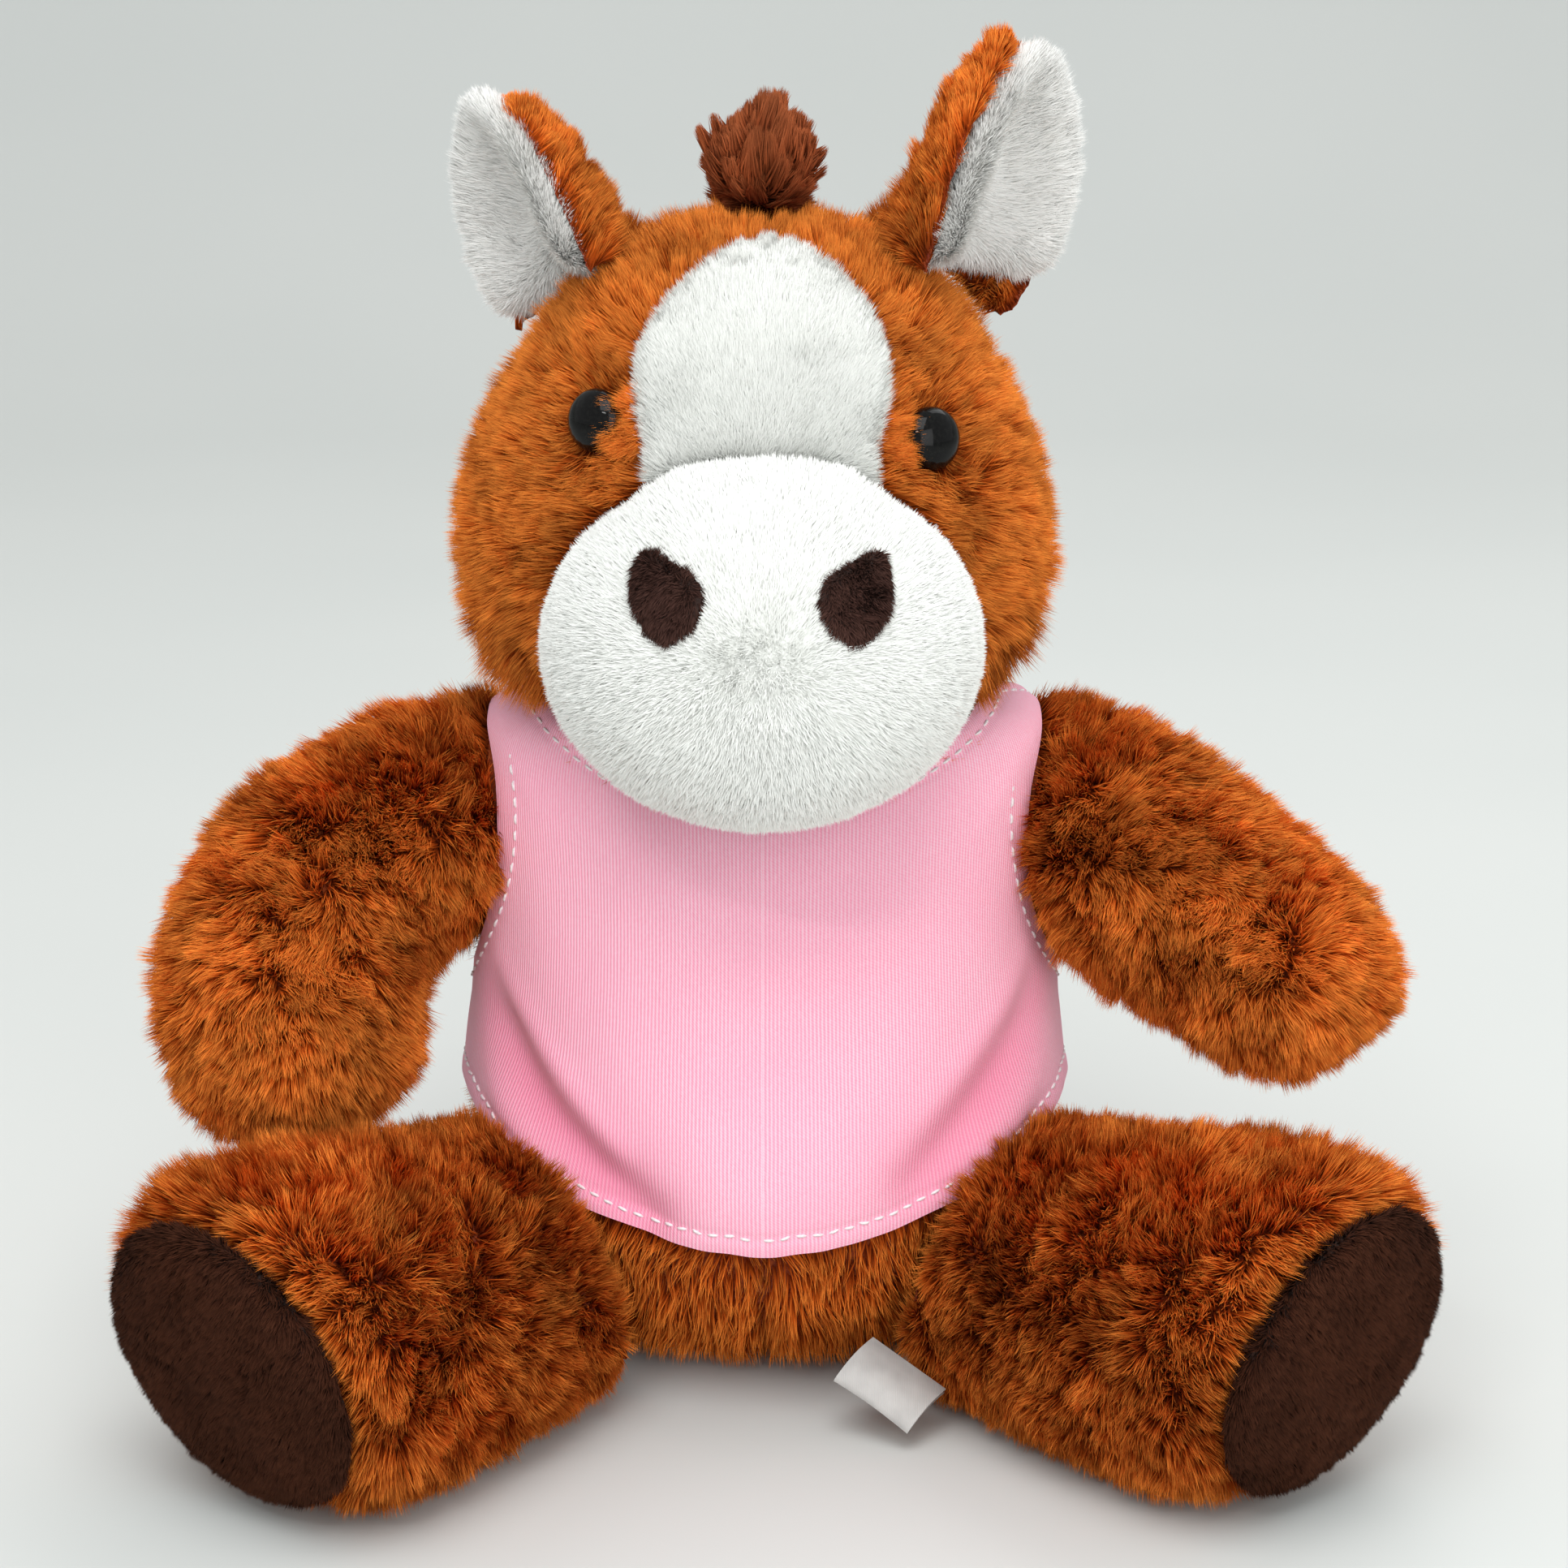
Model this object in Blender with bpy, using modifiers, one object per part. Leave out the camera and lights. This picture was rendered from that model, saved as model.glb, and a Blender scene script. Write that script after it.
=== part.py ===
"""A sitting plush horse in a tank top.

Body, head, muzzle and limbs are stuffed forms that swell and taper. Each limb is carved by the torso through
its whole swing and turns on a ball that sits in a socket of the torso, so a shoulder or hip closes up like a
seam. The ears are cupped leaves with a lining, and the tank top is cut from an offset of the torso.

Metres, +Z up. The horse faces -Y and its left side is +X. The origin is on the floor under the body.
"""

import math

import bmesh
import bpy
from mathutils import Matrix, Vector

X_AXIS = Vector((1, 0, 0))
Y_AXIS = Vector((0, 1, 0))
Z_AXIS = Vector((0, 0, 1))
SIDES = (("left", 1), ("right", -1))

# Driving sizes
GAP = 0.0004
SEGMENTS = 16
LIMB_SEGMENTS = 10
BALL_SEGMENTS = 16

# Torso: height, half width, half depth, and where its middle lies in depth
TORSO = (
    (-0.002, 0.033, 0.026, 0.020),
    (0.006, 0.0455, 0.034, 0.016),
    (0.018, 0.0530, 0.0425, 0.009),
    (0.036, 0.057, 0.048, 0.003),
    (0.056, 0.0575, 0.048, 0.002),
    (0.078, 0.0565, 0.044, 0.003),
    (0.098, 0.0555, 0.039, 0.004),
    (0.114, 0.0565, 0.035, 0.005),
    (0.126, 0.0570, 0.030, 0.006),
    (0.133, 0.0530, 0.024, 0.006),
    (0.1365, 0.038, 0.015, 0.006),
)
TORSO_ENDS = (Vector((0, 0.021, -0.006)), Vector((0, 0.006, 0.1380)))

# Head, in the same terms, and how far its cheeks hang in front of the neck
HEAD = (
    (0.1430, 0.036, 0.028, 0.003),
    (0.147, 0.050, 0.0395, 0.001),
    (0.156, 0.0575, 0.046, -0.001),
    (0.171, 0.0585, 0.049, -0.001),
    (0.188, 0.0550, 0.048, 0.000),
    (0.204, 0.0475, 0.044, 0.001),
    (0.217, 0.0375, 0.036, 0.002),
    (0.226, 0.024, 0.024, 0.003),
)
HEAD_ENDS = (Vector((0, 0.004, 0.1420)), Vector((0, 0.003, 0.2305)))
CHEEK_DROP = 0.0050
CHEEK_TOP = 0.162
CHEEK_SPAN = 0.016
CHEEK_DEPTH = 0.030

# Muzzle: a spine from inside the head to the nose, with half width and half height at each point
MUZZLE_SPINE = ((0, -0.026, 0.1625), (0, -0.040, 0.1595), (0, -0.056, 0.1570), (0, -0.072, 0.1545),
                (0, -0.085, 0.1520))
MUZZLE_RADII = ((0.035, 0.029), (0.0405, 0.0320), (0.0415, 0.0328), (0.0360, 0.0290), (0.023, 0.020))
MUZZLE_ENDS = (Vector((0, -0.020, 0.1635)), Vector((0, -0.0915, 0.1510)))

# Limbs: spine points and radii, drawn for the left side
SHOULDER = Vector((0.0535, 0.0085, 0.1095))
SHOULDER_BALL = 0.018
SHOULDER_ROOM = 0.0200
ARM_OUT = {
    "spine": ((0.048, 0.010, 0.1115), (0.062, 0.003, 0.1095), (0.077, -0.008, 0.1025), (0.091, -0.018, 0.0945),
              (0.103, -0.027, 0.0865), (0.112, -0.034, 0.0805)),
    "radii": (0.0225, 0.0245, 0.0235, 0.0225, 0.0205, 0.0150),
    "tip": (0.119, -0.039, 0.0760),
    "swing": (-5, 35),
}
ARM_BENT = {
    "spine": ((0.048, 0.010, 0.1115), (0.062, 0.004, 0.1115), (0.077, -0.006, 0.107), (0.089, -0.016, 0.098),
              (0.0925, -0.024, 0.085), (0.0895, -0.030, 0.0730), (0.0865, -0.033, 0.0630)),
    "radii": (0.0225, 0.0240, 0.0235, 0.0250, 0.0262, 0.0252, 0.0190),
    "tip": (0.0855, -0.0340, 0.0535),
    "swing": (0, 40),
}
ARMS = {"left": ARM_OUT, "right": ARM_BENT}

HIP = Vector((0.040, -0.010, 0.032))
HIP_BALL = 0.020
LEG_SPINE = ((0.034, -0.004, 0.028), (0.044, -0.018, 0.028), (0.056, -0.035, 0.0285), (0.068, -0.051, 0.0300),
             (0.081, -0.0675, 0.0330))
LEG_RADII = ((0.0245, 0.0260), (0.0280, 0.0290), (0.0305, 0.0305), (0.0330, 0.0320), (0.0352, 0.0348))
LEG_SPREAD = {"left": 6.0, "right": 0.0}
LEG_SWING = {"left": (-3, 10), "right": (-8, 4)}
SOLE_CENTRE = Vector((0.0945, -0.0875, 0.0338))
SOLE_NORMAL = Vector((0.62, -0.735, -0.275)).normalized()
SOLE_RADIUS = 0.0328
SOLE_DOME = ((0.0, 0.0315), (0.0025, 0.0310), (0.0055, 0.0265), (0.0075, 0.0165))
SOLE_CROWN = 0.0084
RIM_RADIUS = 0.0345
RIM_SETBACK = 0.0060
FLOOR_SINK = -0.0005
LEG_SAG = 0.35

# Neck, on whose middle the head turns and nods
NECK = Vector((0, 0.005, 0.1395))
NECK_BALL = 0.020

# Ears: the middle of the base, and the blade by height, half width and cup depth
EAR_ROOT = {"left": Vector((0.0365, 0.002, 0.2160)), "right": Vector((-0.0355, 0.002, 0.2120))}
EAR_BALL = 0.0060
EAR_PIVOT_BACK = 0.0030
EAR_BLADE = (
    (-0.006, 0.0195, 0.0165),
    (0.005, 0.0225, 0.0185),
    (0.015, 0.0235, 0.0190),
    (0.025, 0.0225, 0.0175),
    (0.034, 0.0185, 0.0135),
    (0.0415, 0.0120, 0.0080),
    (0.0455, 0.0060, 0.0040),
)
LINING_START = 1
EAR_COLUMNS = 7
EAR_WRAP = math.radians(80)
EAR_LEAST = 0.0022
EAR_GAP = 0.0012
EAR_BACK = 0.0040
EAR_LINING = 0.0022
EAR_SCALE = {"left": 1.12, "right": 1.0}
EAR_LEAN = {"left": math.radians(16), "right": math.radians(24)}
EAR_TILT = {"left": math.radians(4), "right": math.radians(14)}
EAR_YAW = math.radians(60)
EAR_SWING = (-12, 12)
HEAD_CLEARANCE = 0.0008

# Eyes: a domed button on a stem, locked by a washer inside the head
EYE_SEAT = {"left": Vector((0.0310, -0.0365, 0.1930)), "right": Vector((-0.0310, -0.0365, 0.1960))}
EYE_AXIS = Vector((0.56, -0.81, 0.17)).normalized()
EYE_RADIUS = 0.0053
EYE_HEIGHT = 0.0040
STEM_RADIUS = 0.0017
STEM_LENGTH = 0.0130
WASHER_DEPTH = 0.0070
WASHER_RADIUS = 0.0065
WASHER_THICK = 0.0014

# Mane: a crest from the crown to the nape, with half width and half height
MANE_SPINE = ((0, -0.003, 0.2350), (0, 0.009, 0.2395), (0, 0.023, 0.2360), (0, 0.037, 0.2250), (0, 0.0475, 0.2085),
              (0, 0.0530, 0.1890))
MANE_RADII = ((0.0095, 0.0080), (0.0115, 0.0105), (0.0110, 0.0105), (0.0100, 0.0100), (0.0095, 0.0090),
              (0.0080, 0.0070))
MANE_ENDS = (Vector((0, -0.0085, 0.2315)), Vector((0, 0.0530, 0.1790)))

# Tail: a tuft on a ball at the back of the seat
TAIL_ROOT = Vector((0, 0.046, 0.026))
TAIL_BALL = 0.0065
TAIL_SWING = (-15, 15)
TAIL_CLEARANCE = 0.0008
TAIL_SPINE = ((0, 0.047, 0.026), (0, 0.056, 0.027), (0, 0.064, 0.024), (0, 0.070, 0.017), (0, 0.0735, 0.009))
TAIL_RADII = (0.0045, 0.0060, 0.0085, 0.0085, 0.0060)
TAIL_TIP = Vector((0, 0.0755, 0.0035))

# Tank top: cloth thickness, and the circles that cut its edges in the front view
CLOTH_OFFSET = 0.0004
CLOTH_THICK = 0.0012
CLOTH_CLEARANCE = 0.0040
FOLD_DEPTH = 0.0017
FOLD_COUNT = 7
FOLD_TOP = 0.075
FLARE = 0.0030
SEAM_DEPTH = 0.008
SEAM_GAP = 0.0003
NECKLINE = {"front": (0.117, 0.047, 0.134), "back": (0.127, 0.047, 0.134)}
HEM = {"front": (0.037, 0.058, 0.057), "back": (0.042, 0.058, 0.057)}
ARMHOLE = (0.0185, 0.0270)
ARMHOLE_START = 0.0535
ARMHOLE_DROP = 0.0025

# Blaze and nostrils: outlines in the front view
BLAZE_OUTLINE = ((-0.0185, 0.168), (-0.0198, 0.192), (-0.0222, 0.206), (-0.0165, 0.220), (0, 0.2265),
                 (0.0165, 0.220), (0.0222, 0.206), (0.0198, 0.192), (0.0185, 0.168))
BLAZE_THICK = 0.0012
NOSTRIL_OUTLINE = ((-0.0045, 0.0068), (0.0010, 0.0056), (0.0056, 0.0032), (0.0062, -0.0008), (0.0038, -0.0044),
                   (-0.0005, -0.0068), (-0.0043, -0.0044), (-0.0064, 0.0000), (-0.0060, 0.0040))
NOSTRIL_CENTRE = Vector((0.0165, 0, 0.1728))
NOSTRIL_THICK = 0.0009

# Label: a folded ribbon sewn into the crotch seam
LABEL_CORNER = Vector((0.0140, -0.0500, 0.0125))
LABEL_WIDTH_AXIS = Vector((0.80, -0.40, -0.45)).normalized()
LABEL_LENGTH_AXIS = Vector((0.62, 0.55, 0.56)).normalized()
LABEL_WIDTH = 0.0175
LABEL_LENGTH = 0.0125
LABEL_FOLD = 0.0007
LABEL_THICK = 0.0004

FLOOR_BOX = 0.6


def clear_scene():
    """Remove every object, so the model starts from an empty scene."""
    for obj in list(bpy.data.objects):
        bpy.data.objects.remove(obj, do_unlink=True)


def new_collection(name):
    """Make a collection in the scene and return it."""
    collection = bpy.data.collections.new(name)
    bpy.context.scene.collection.children.link(collection)
    return collection


def new_material(name, colour, roughness):
    """Make a Principled material of one colour and roughness."""
    material = bpy.data.materials.new(name)
    material.use_nodes = True
    shader = material.node_tree.nodes["Principled BSDF"]
    shader.inputs["Base Color"].default_value = (*colour, 1)
    shader.inputs["Roughness"].default_value = roughness
    shader.inputs["Metallic"].default_value = 0
    material.diffuse_color = (*colour, 1)
    return material


def add_object(name, bm, collection, material=None):
    """Turn a bmesh into an object in a collection, its faces pointing out."""
    bmesh.ops.recalc_face_normals(bm, faces=bm.faces)
    mesh = bpy.data.meshes.new(name)
    bm.to_mesh(mesh)
    bm.free()
    mesh.shade_smooth()
    if material:
        mesh.materials.append(material)
    obj = bpy.data.objects.new(name, mesh)
    collection.objects.link(obj)
    return obj


def as_cutter(obj):
    """Keep a guide shape out of the model and show it as wires."""
    obj.hide_render = True
    obj.display_type = "WIRE"
    return obj


def smooth(obj, levels=1):
    """Round a coarse cage with a subdivision surface."""
    modifier = obj.modifiers.new("round", "SUBSURF")
    modifier.levels = levels
    modifier.render_levels = levels
    return obj


def combine(obj, other, operation="DIFFERENCE"):
    """Cut, join or intersect an object with another shape."""
    modifier = obj.modifiers.new(f"{operation.lower()} {other.name}", "BOOLEAN")
    modifier.operation = operation
    modifier.solver = "EXACT"
    modifier.object = other
    return obj


def mirrored(point, side):
    """Return a left-side point on the given side."""
    return Vector((point[0] * side, point[1], point[2]))


def about(centre, axis, degrees):
    """Return the turn about an axis through a centre."""
    turn = Matrix.Rotation(math.radians(degrees), 4, axis)
    return Matrix.Translation(centre) @ turn @ Matrix.Translation(-centre)


def add_ring(bm, centre, across, up, half_width, half_height, segments):
    """Add a ring of vertices, widened so that its rounded form keeps the stated size."""
    widen = 4 / (3 + math.cos(math.tau / segments))
    ring = []
    for step in range(segments):
        angle = math.tau * step / segments
        offset = across * half_width * math.cos(angle) + up * half_height * math.sin(angle)
        ring.append(bm.verts.new(centre + offset * widen))
    return ring


def skin_rings(bm, rings, start, end):
    """Join rings with quads and close both ends to a point."""
    for low, high in zip(rings, rings[1:]):
        for step in range(len(low)):
            following = (step + 1) % len(low)
            bm.faces.new((low[step], low[following], high[following], high[step]))
    for ring, point in ((rings[0], start), (rings[-1], end)):
        pole = bm.verts.new(point)
        for step in range(len(ring)):
            bm.faces.new((ring[step], ring[(step + 1) % len(ring)], pole))


def stacked_form(name, stations, ends, collection, material=None, grow=0.0):
    """Loft upright stations into a closed stuffed form, grown outwards by an even amount."""
    bm = bmesh.new()
    rings = []
    for height, half_width, half_depth, middle in stations:
        centre = Vector((0, middle, height))
        rings.append(add_ring(bm, centre, X_AXIS, Y_AXIS, half_width + grow, half_depth + grow, SEGMENTS))
    low = ends[0] - Z_AXIS * grow
    high = ends[1] + Z_AXIS * grow
    skin_rings(bm, rings, low, high)
    return smooth(add_object(name, bm, collection, material))


def head_form(name, collection, material=None, grow=0.0):
    """Loft the head and let its cheeks hang a little in front of the neck."""
    head = stacked_form(name, HEAD, HEAD_ENDS, collection, material, grow)
    for vertex in head.data.vertices:
        low = min(1.0, max(0.0, (CHEEK_TOP - vertex.co.z) / CHEEK_SPAN))
        front = min(1.0, max(0.0, -vertex.co.y / CHEEK_DEPTH))
        vertex.co.z -= CHEEK_DROP * low * front
    return head


def spine_form(name, spine, radii, ends, collection, material=None, grow=0.0, segments=LIMB_SEGMENTS):
    """Loft rings along a spine, each ring square to it, and close the ends to points."""
    points = [Vector(point) for point in spine]
    bm = bmesh.new()
    rings = []
    across = None
    for index, point in enumerate(points):
        ahead = points[min(index + 1, len(points) - 1)]
        behind = points[max(index - 1, 0)]
        tangent = (ahead - behind).normalized()
        if across is None:
            across = tangent.cross(Z_AXIS)
        across = (across - tangent * across.dot(tangent)).normalized()
        up = across.cross(tangent)
        size = radii[index] if isinstance(radii[index], tuple) else (radii[index], radii[index])
        rings.append(add_ring(bm, point, across, up, size[0] + grow, size[1] + grow, segments))
    start = ends[0] + (ends[0] - points[0]).normalized() * grow
    end = ends[1] + (ends[1] - points[-1]).normalized() * grow
    skin_rings(bm, rings, start, end)
    return smooth(add_object(name, bm, collection, material))


def socket_radius(radius):
    """Return the radius of a faceted socket whose flats stay clear of a ball that turns in it."""
    return (radius + GAP) / math.cos(math.pi / BALL_SEGMENTS) ** 2


def ball(name, centre, radius, collection):
    """Add a sphere that joins a limb or cuts a socket."""
    bm = bmesh.new()
    bmesh.ops.create_uvsphere(bm, u_segments=BALL_SEGMENTS, v_segments=BALL_SEGMENTS // 2, radius=radius)
    obj = as_cutter(add_object(name, bm, collection))
    obj.location = centre
    return obj


def block(name, low, high, collection):
    """Add a box cutter between two corners."""
    bm = bmesh.new()
    bmesh.ops.create_cube(bm, size=1)
    bmesh.ops.scale(bm, vec=high - low, verts=bm.verts)
    bmesh.ops.translate(bm, vec=(high + low) / 2, verts=bm.verts)
    return as_cutter(add_object(name, bm, collection))


def prism(name, outline, near, far, collection):
    """Extrude an outline of the front view along Y, rounded between its points."""
    curve = bpy.data.curves.new(name, "CURVE")
    curve.dimensions = "2D"
    curve.fill_mode = "BOTH"
    curve.resolution_u = 3
    curve.extrude = abs(far - near) / 2
    spline = curve.splines.new("BEZIER")
    spline.bezier_points.add(len(outline) - 1)
    for point, (x, z) in zip(spline.bezier_points, outline):
        point.co = (x, z, 0)
        point.handle_left_type = "AUTO"
        point.handle_right_type = "AUTO"
    spline.use_cyclic_u = True
    drawn = bpy.data.objects.new(name, curve)
    bpy.context.scene.collection.objects.link(drawn)
    drawn.rotation_euler = (math.pi / 2, 0, 0)
    drawn.location = (0, (near + far) / 2, 0)
    bpy.context.view_layer.update()
    solid = bpy.data.meshes.new_from_object(drawn.evaluated_get(bpy.context.evaluated_depsgraph_get()))
    bm = bmesh.new()
    bm.from_mesh(solid)
    bmesh.ops.transform(bm, matrix=drawn.matrix_world, verts=bm.verts)
    bmesh.ops.remove_doubles(bm, verts=bm.verts, dist=1e-6)
    bpy.data.objects.remove(drawn, do_unlink=True)
    bpy.data.meshes.remove(solid)
    return as_cutter(add_object(name, bm, collection))


def front_cylinder(name, radius, middle, near, far, collection, segments=64):
    """Add a cylinder along Y, for an edge that is an arc in the front view."""
    bm = bmesh.new()
    bmesh.ops.create_cone(
        bm, cap_ends=True, segments=segments, radius1=radius, radius2=radius, depth=far - near,
        matrix=Matrix.Translation((0, (near + far) / 2, middle)) @ Matrix.Rotation(math.pi / 2, 4, "X"))
    return as_cutter(add_object(name, bm, collection))


def arc_radius(low, half_chord, high):
    """Return the radius of the arc that dips to low between two points at high."""
    rise = high - low
    return (half_chord ** 2 + rise ** 2) / (2 * rise)


def build_body(parts, cutters, fur):
    """Make the torso, with sockets for neck, limbs and tail and a flat seat."""
    body = stacked_form("body", TORSO, TORSO_ENDS, parts, fur)
    for name, side in SIDES:
        combine(body, ball(f"shoulder socket {name}", mirrored(SHOULDER, side), socket_radius(SHOULDER_BALL), cutters))
        combine(body, ball(f"hip socket {name}", mirrored(HIP, side), socket_radius(HIP_BALL), cutters))
    combine(body, ball("neck socket", NECK, socket_radius(NECK_BALL), cutters))
    combine(body, ball("tail socket", TAIL_ROOT, socket_radius(TAIL_BALL), cutters))
    combine(body, floor_cutter(cutters))
    return body


def floor_cutter(cutters):
    """Return the block under the floor that flattens what stands on it."""
    existing = cutters.objects.get("floor")
    if existing:
        return existing
    half = FLOOR_BOX / 2
    return block("floor", Vector((-half, -half, -half)), Vector((half, half, 0)), cutters)


def carve(obj, solid, centre, axis, swing):
    """Cut from a moving piece what a fixed solid reaches at either end of the piece's swing."""
    for angle in swing:
        placed = bpy.data.objects.new(f"{solid.name} seen by {obj.name} at {angle:.0f}", solid.data)
        solid.users_collection[0].objects.link(placed)
        smooth(as_cutter(placed))
        placed.matrix_world = about(centre, axis, -angle)
        combine(obj, placed)


def build_arms(parts, cutters, fur, clearance):
    """Make both arms: one held out, one hanging with its elbow bent."""
    for name, side in SIDES:
        shape = ARMS[name]
        root = mirrored(SHOULDER, side)
        spine = [mirrored(point, side) for point in shape["spine"]]
        start = spine[0] + (spine[0] - spine[1]) * 0.5
        arm = spine_form(f"arm_{name}", spine, shape["radii"], (start, mirrored(shape["tip"], side)), parts, fur)
        carve(arm, clearance, root, Y_AXIS * -side, shape["swing"])
        combine(arm, ball(f"shoulder ball {name}", root, SHOULDER_BALL, cutters), "UNION")


def build_legs(parts, cutters, fur, hoof, clearance):
    """Make both legs, each with a domed hoof sole on its end."""
    for name, side in SIDES:
        root = mirrored(HIP, side)
        spread = about(root, Z_AXIS * side, LEG_SPREAD[name])
        spine = [spread @ mirrored(point, side) for point in LEG_SPINE]
        start = spine[0] + (spine[0] - spine[1]) * 0.5
        normal = spread.to_3x3() @ mirrored(SOLE_NORMAL, side)
        centre = spread @ mirrored(SOLE_CENTRE, side)
        leg = leg_form(f"leg_{name}", spine, start, centre, normal, parts, fur)
        carve(leg, clearance, root, Z_AXIS * side, LEG_SWING[name])
        combine(leg, ball(f"hip ball {name}", root, HIP_BALL, cutters), "UNION")
        combine(leg, floor_cutter(cutters))
        build_hoof(f"hoof_{name}", centre, normal, parts, hoof)


def sole_frame(normal):
    """Return the across and up directions of a sole's plane."""
    across = normal.cross(Z_AXIS).normalized()
    return across, across.cross(normal).normalized()


def leg_form(name, spine, start, centre, normal, parts, fur):
    """Loft a leg that sags flat on the floor and whose last rings lie in the plane of its sole."""
    bm = bmesh.new()
    rings = []
    for index, point in enumerate(spine):
        ahead = spine[min(index + 1, len(spine) - 1)]
        behind = spine[max(index - 1, 0)]
        across = (ahead - behind).cross(Z_AXIS).normalized()
        up = across.cross((ahead - behind).normalized())
        rings.append(add_ring(bm, point, across, up, *LEG_RADII[index], LIMB_SEGMENTS))
    for ring in rings:
        middle = sum(vertex.co.z for vertex in ring) / len(ring)
        for vertex in ring:
            vertex.co.z -= LEG_SAG * max(0.0, middle - vertex.co.z)
            vertex.co.z = max(vertex.co.z, FLOOR_SINK)
    across, up = sole_frame(normal)
    rim = centre - normal * RIM_SETBACK
    rings.append(add_ring(bm, rim, across, up, RIM_RADIUS, RIM_RADIUS, LIMB_SEGMENTS))
    rings.append(add_ring(bm, centre, across, up, SOLE_RADIUS, SOLE_RADIUS, LIMB_SEGMENTS))
    skin_rings(bm, rings, start, centre)
    return smooth(add_object(name, bm, parts, fur))


def build_hoof(name, centre, normal, parts, hoof):
    """Make a domed sole that lies flat against its leg."""
    across, up = sole_frame(normal)
    bm = bmesh.new()
    rings = []
    for height, radius in SOLE_DOME:
        rings.append(add_ring(bm, centre + normal * (GAP + height), across, up, radius, radius, LIMB_SEGMENTS))
    skin_rings(bm, rings, centre + normal * GAP, centre + normal * (GAP + SOLE_CROWN))
    return smooth(add_object(name, bm, parts, hoof))


def build_neck(parts, fur):
    """Make the stuffed neck, a ball that both the torso and the head seat on."""
    bm = bmesh.new()
    bmesh.ops.create_uvsphere(bm, u_segments=BALL_SEGMENTS, v_segments=BALL_SEGMENTS // 2, radius=NECK_BALL)
    neck = add_object("neck", bm, parts, fur)
    neck.location = NECK
    return neck


def build_head(parts, cutters, fur):
    """Make the head, with the neck's seat, the ears' sockets and the holes behind the eyes."""
    head = head_form("head", parts, fur)
    combine(head, ball("head socket", NECK, socket_radius(NECK_BALL), cutters))
    for name, side in SIDES:
        combine(head, ball(f"ear socket {name}", ear_pivot(name, side), socket_radius(EAR_BALL), cutters))
        combine(head, eye_hole(f"eye hole {name}", side, cutters))
    return head


def along_eye(side):
    """Return the matrix that takes local +Z to an eye's axis, at its seat."""
    axis = mirrored(EYE_AXIS, side)
    turn = axis.to_track_quat("Z", "Y").to_matrix().to_4x4()
    seat = EYE_SEAT["left" if side > 0 else "right"]
    return Matrix.Translation(seat) @ turn


def turned(name, profile, collection, material, side):
    """Turn a closed profile of radius and height about an eye's axis."""
    mesh = bpy.data.meshes.new(name)
    edges = [(step, step + 1) for step in range(len(profile) - 1)]
    mesh.from_pydata([(radius, 0, height) for radius, height in profile], edges, [])
    if material:
        mesh.materials.append(material)
    obj = bpy.data.objects.new(name, mesh)
    collection.objects.link(obj)
    obj.matrix_world = along_eye(side)
    screw = obj.modifiers.new("turn", "SCREW")
    screw.angle = math.tau
    screw.steps = BALL_SEGMENTS
    screw.render_steps = BALL_SEGMENTS
    screw.use_merge_vertices = True
    screw.merge_threshold = 0.00001
    screw.use_smooth_shade = True
    return obj


def eye_hole(name, side, cutters):
    """Return the cutter for an eye's seat, its stem hole and the pocket of its washer."""
    stem = STEM_RADIUS + GAP
    pocket = WASHER_RADIUS + GAP
    seat = EYE_RADIUS + GAP
    profile = (
        (0, 0.012),
        (seat, 0.012),
        (seat, -GAP),
        (stem, -GAP),
        (stem, -WASHER_DEPTH + GAP),
        (pocket, -WASHER_DEPTH + GAP),
        (pocket, -WASHER_DEPTH - WASHER_THICK - GAP),
        (stem, -WASHER_DEPTH - WASHER_THICK - GAP),
        (stem, -STEM_LENGTH - GAP),
        (0, -STEM_LENGTH - GAP),
    )
    return as_cutter(turned(name, profile, cutters, None, side))


def build_eyes(parts, eye, washer):
    """Make the eyes: a domed button with its stem, and the washer that locks it."""
    for name, side in SIDES:
        dome = [(EYE_RADIUS * math.sin(angle), EYE_HEIGHT * math.cos(angle))
                for angle in (math.pi / 2 * step / 8 for step in range(9))]
        profile = dome + [(STEM_RADIUS, 0), (STEM_RADIUS, -STEM_LENGTH), (0, -STEM_LENGTH)]
        turned(f"eye_{name}", profile, parts, eye, side)
        inner = STEM_RADIUS + GAP
        ring = ((inner, -WASHER_DEPTH), (WASHER_RADIUS, -WASHER_DEPTH),
                (WASHER_RADIUS, -WASHER_DEPTH - WASHER_THICK), (inner, -WASHER_DEPTH - WASHER_THICK),
                (inner, -WASHER_DEPTH))
        turned(f"eye_washer_{name}", ring, parts, washer, side)


def muzzle_form(name, collection, material=None, grow=0.0):
    """Return the muzzle's swelling form."""
    return spine_form(name, MUZZLE_SPINE, MUZZLE_RADII, MUZZLE_ENDS, collection, material, grow, SEGMENTS)


def build_face(parts, cutters, white, dark):
    """Make the muzzle, the blaze above it and the nostrils let onto it."""
    head_skin = as_cutter(head_form("head skin", cutters, grow=GAP))
    muzzle = muzzle_form("muzzle", parts, white)
    combine(muzzle, head_skin)

    blaze = head_form("blaze", parts, white, grow=GAP + BLAZE_THICK)
    combine(blaze, prism("blaze outline", BLAZE_OUTLINE, -0.080, -0.003, cutters), "INTERSECT")
    combine(blaze, head_skin)
    combine(blaze, as_cutter(muzzle_form("muzzle skin", cutters, grow=GAP)))

    for name, side in SIDES:
        nostril = muzzle_form(f"nostril_{name}", parts, dark, grow=GAP + NOSTRIL_THICK)
        outline = [((NOSTRIL_CENTRE.x - x) * side, NOSTRIL_CENTRE.z + z) for x, z in NOSTRIL_OUTLINE]
        combine(nostril, prism(f"nostril outline {name}", outline, -0.120, -0.070, cutters), "INTERSECT")
        combine(nostril, bpy.data.objects["muzzle skin"])
    return head_skin


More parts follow.
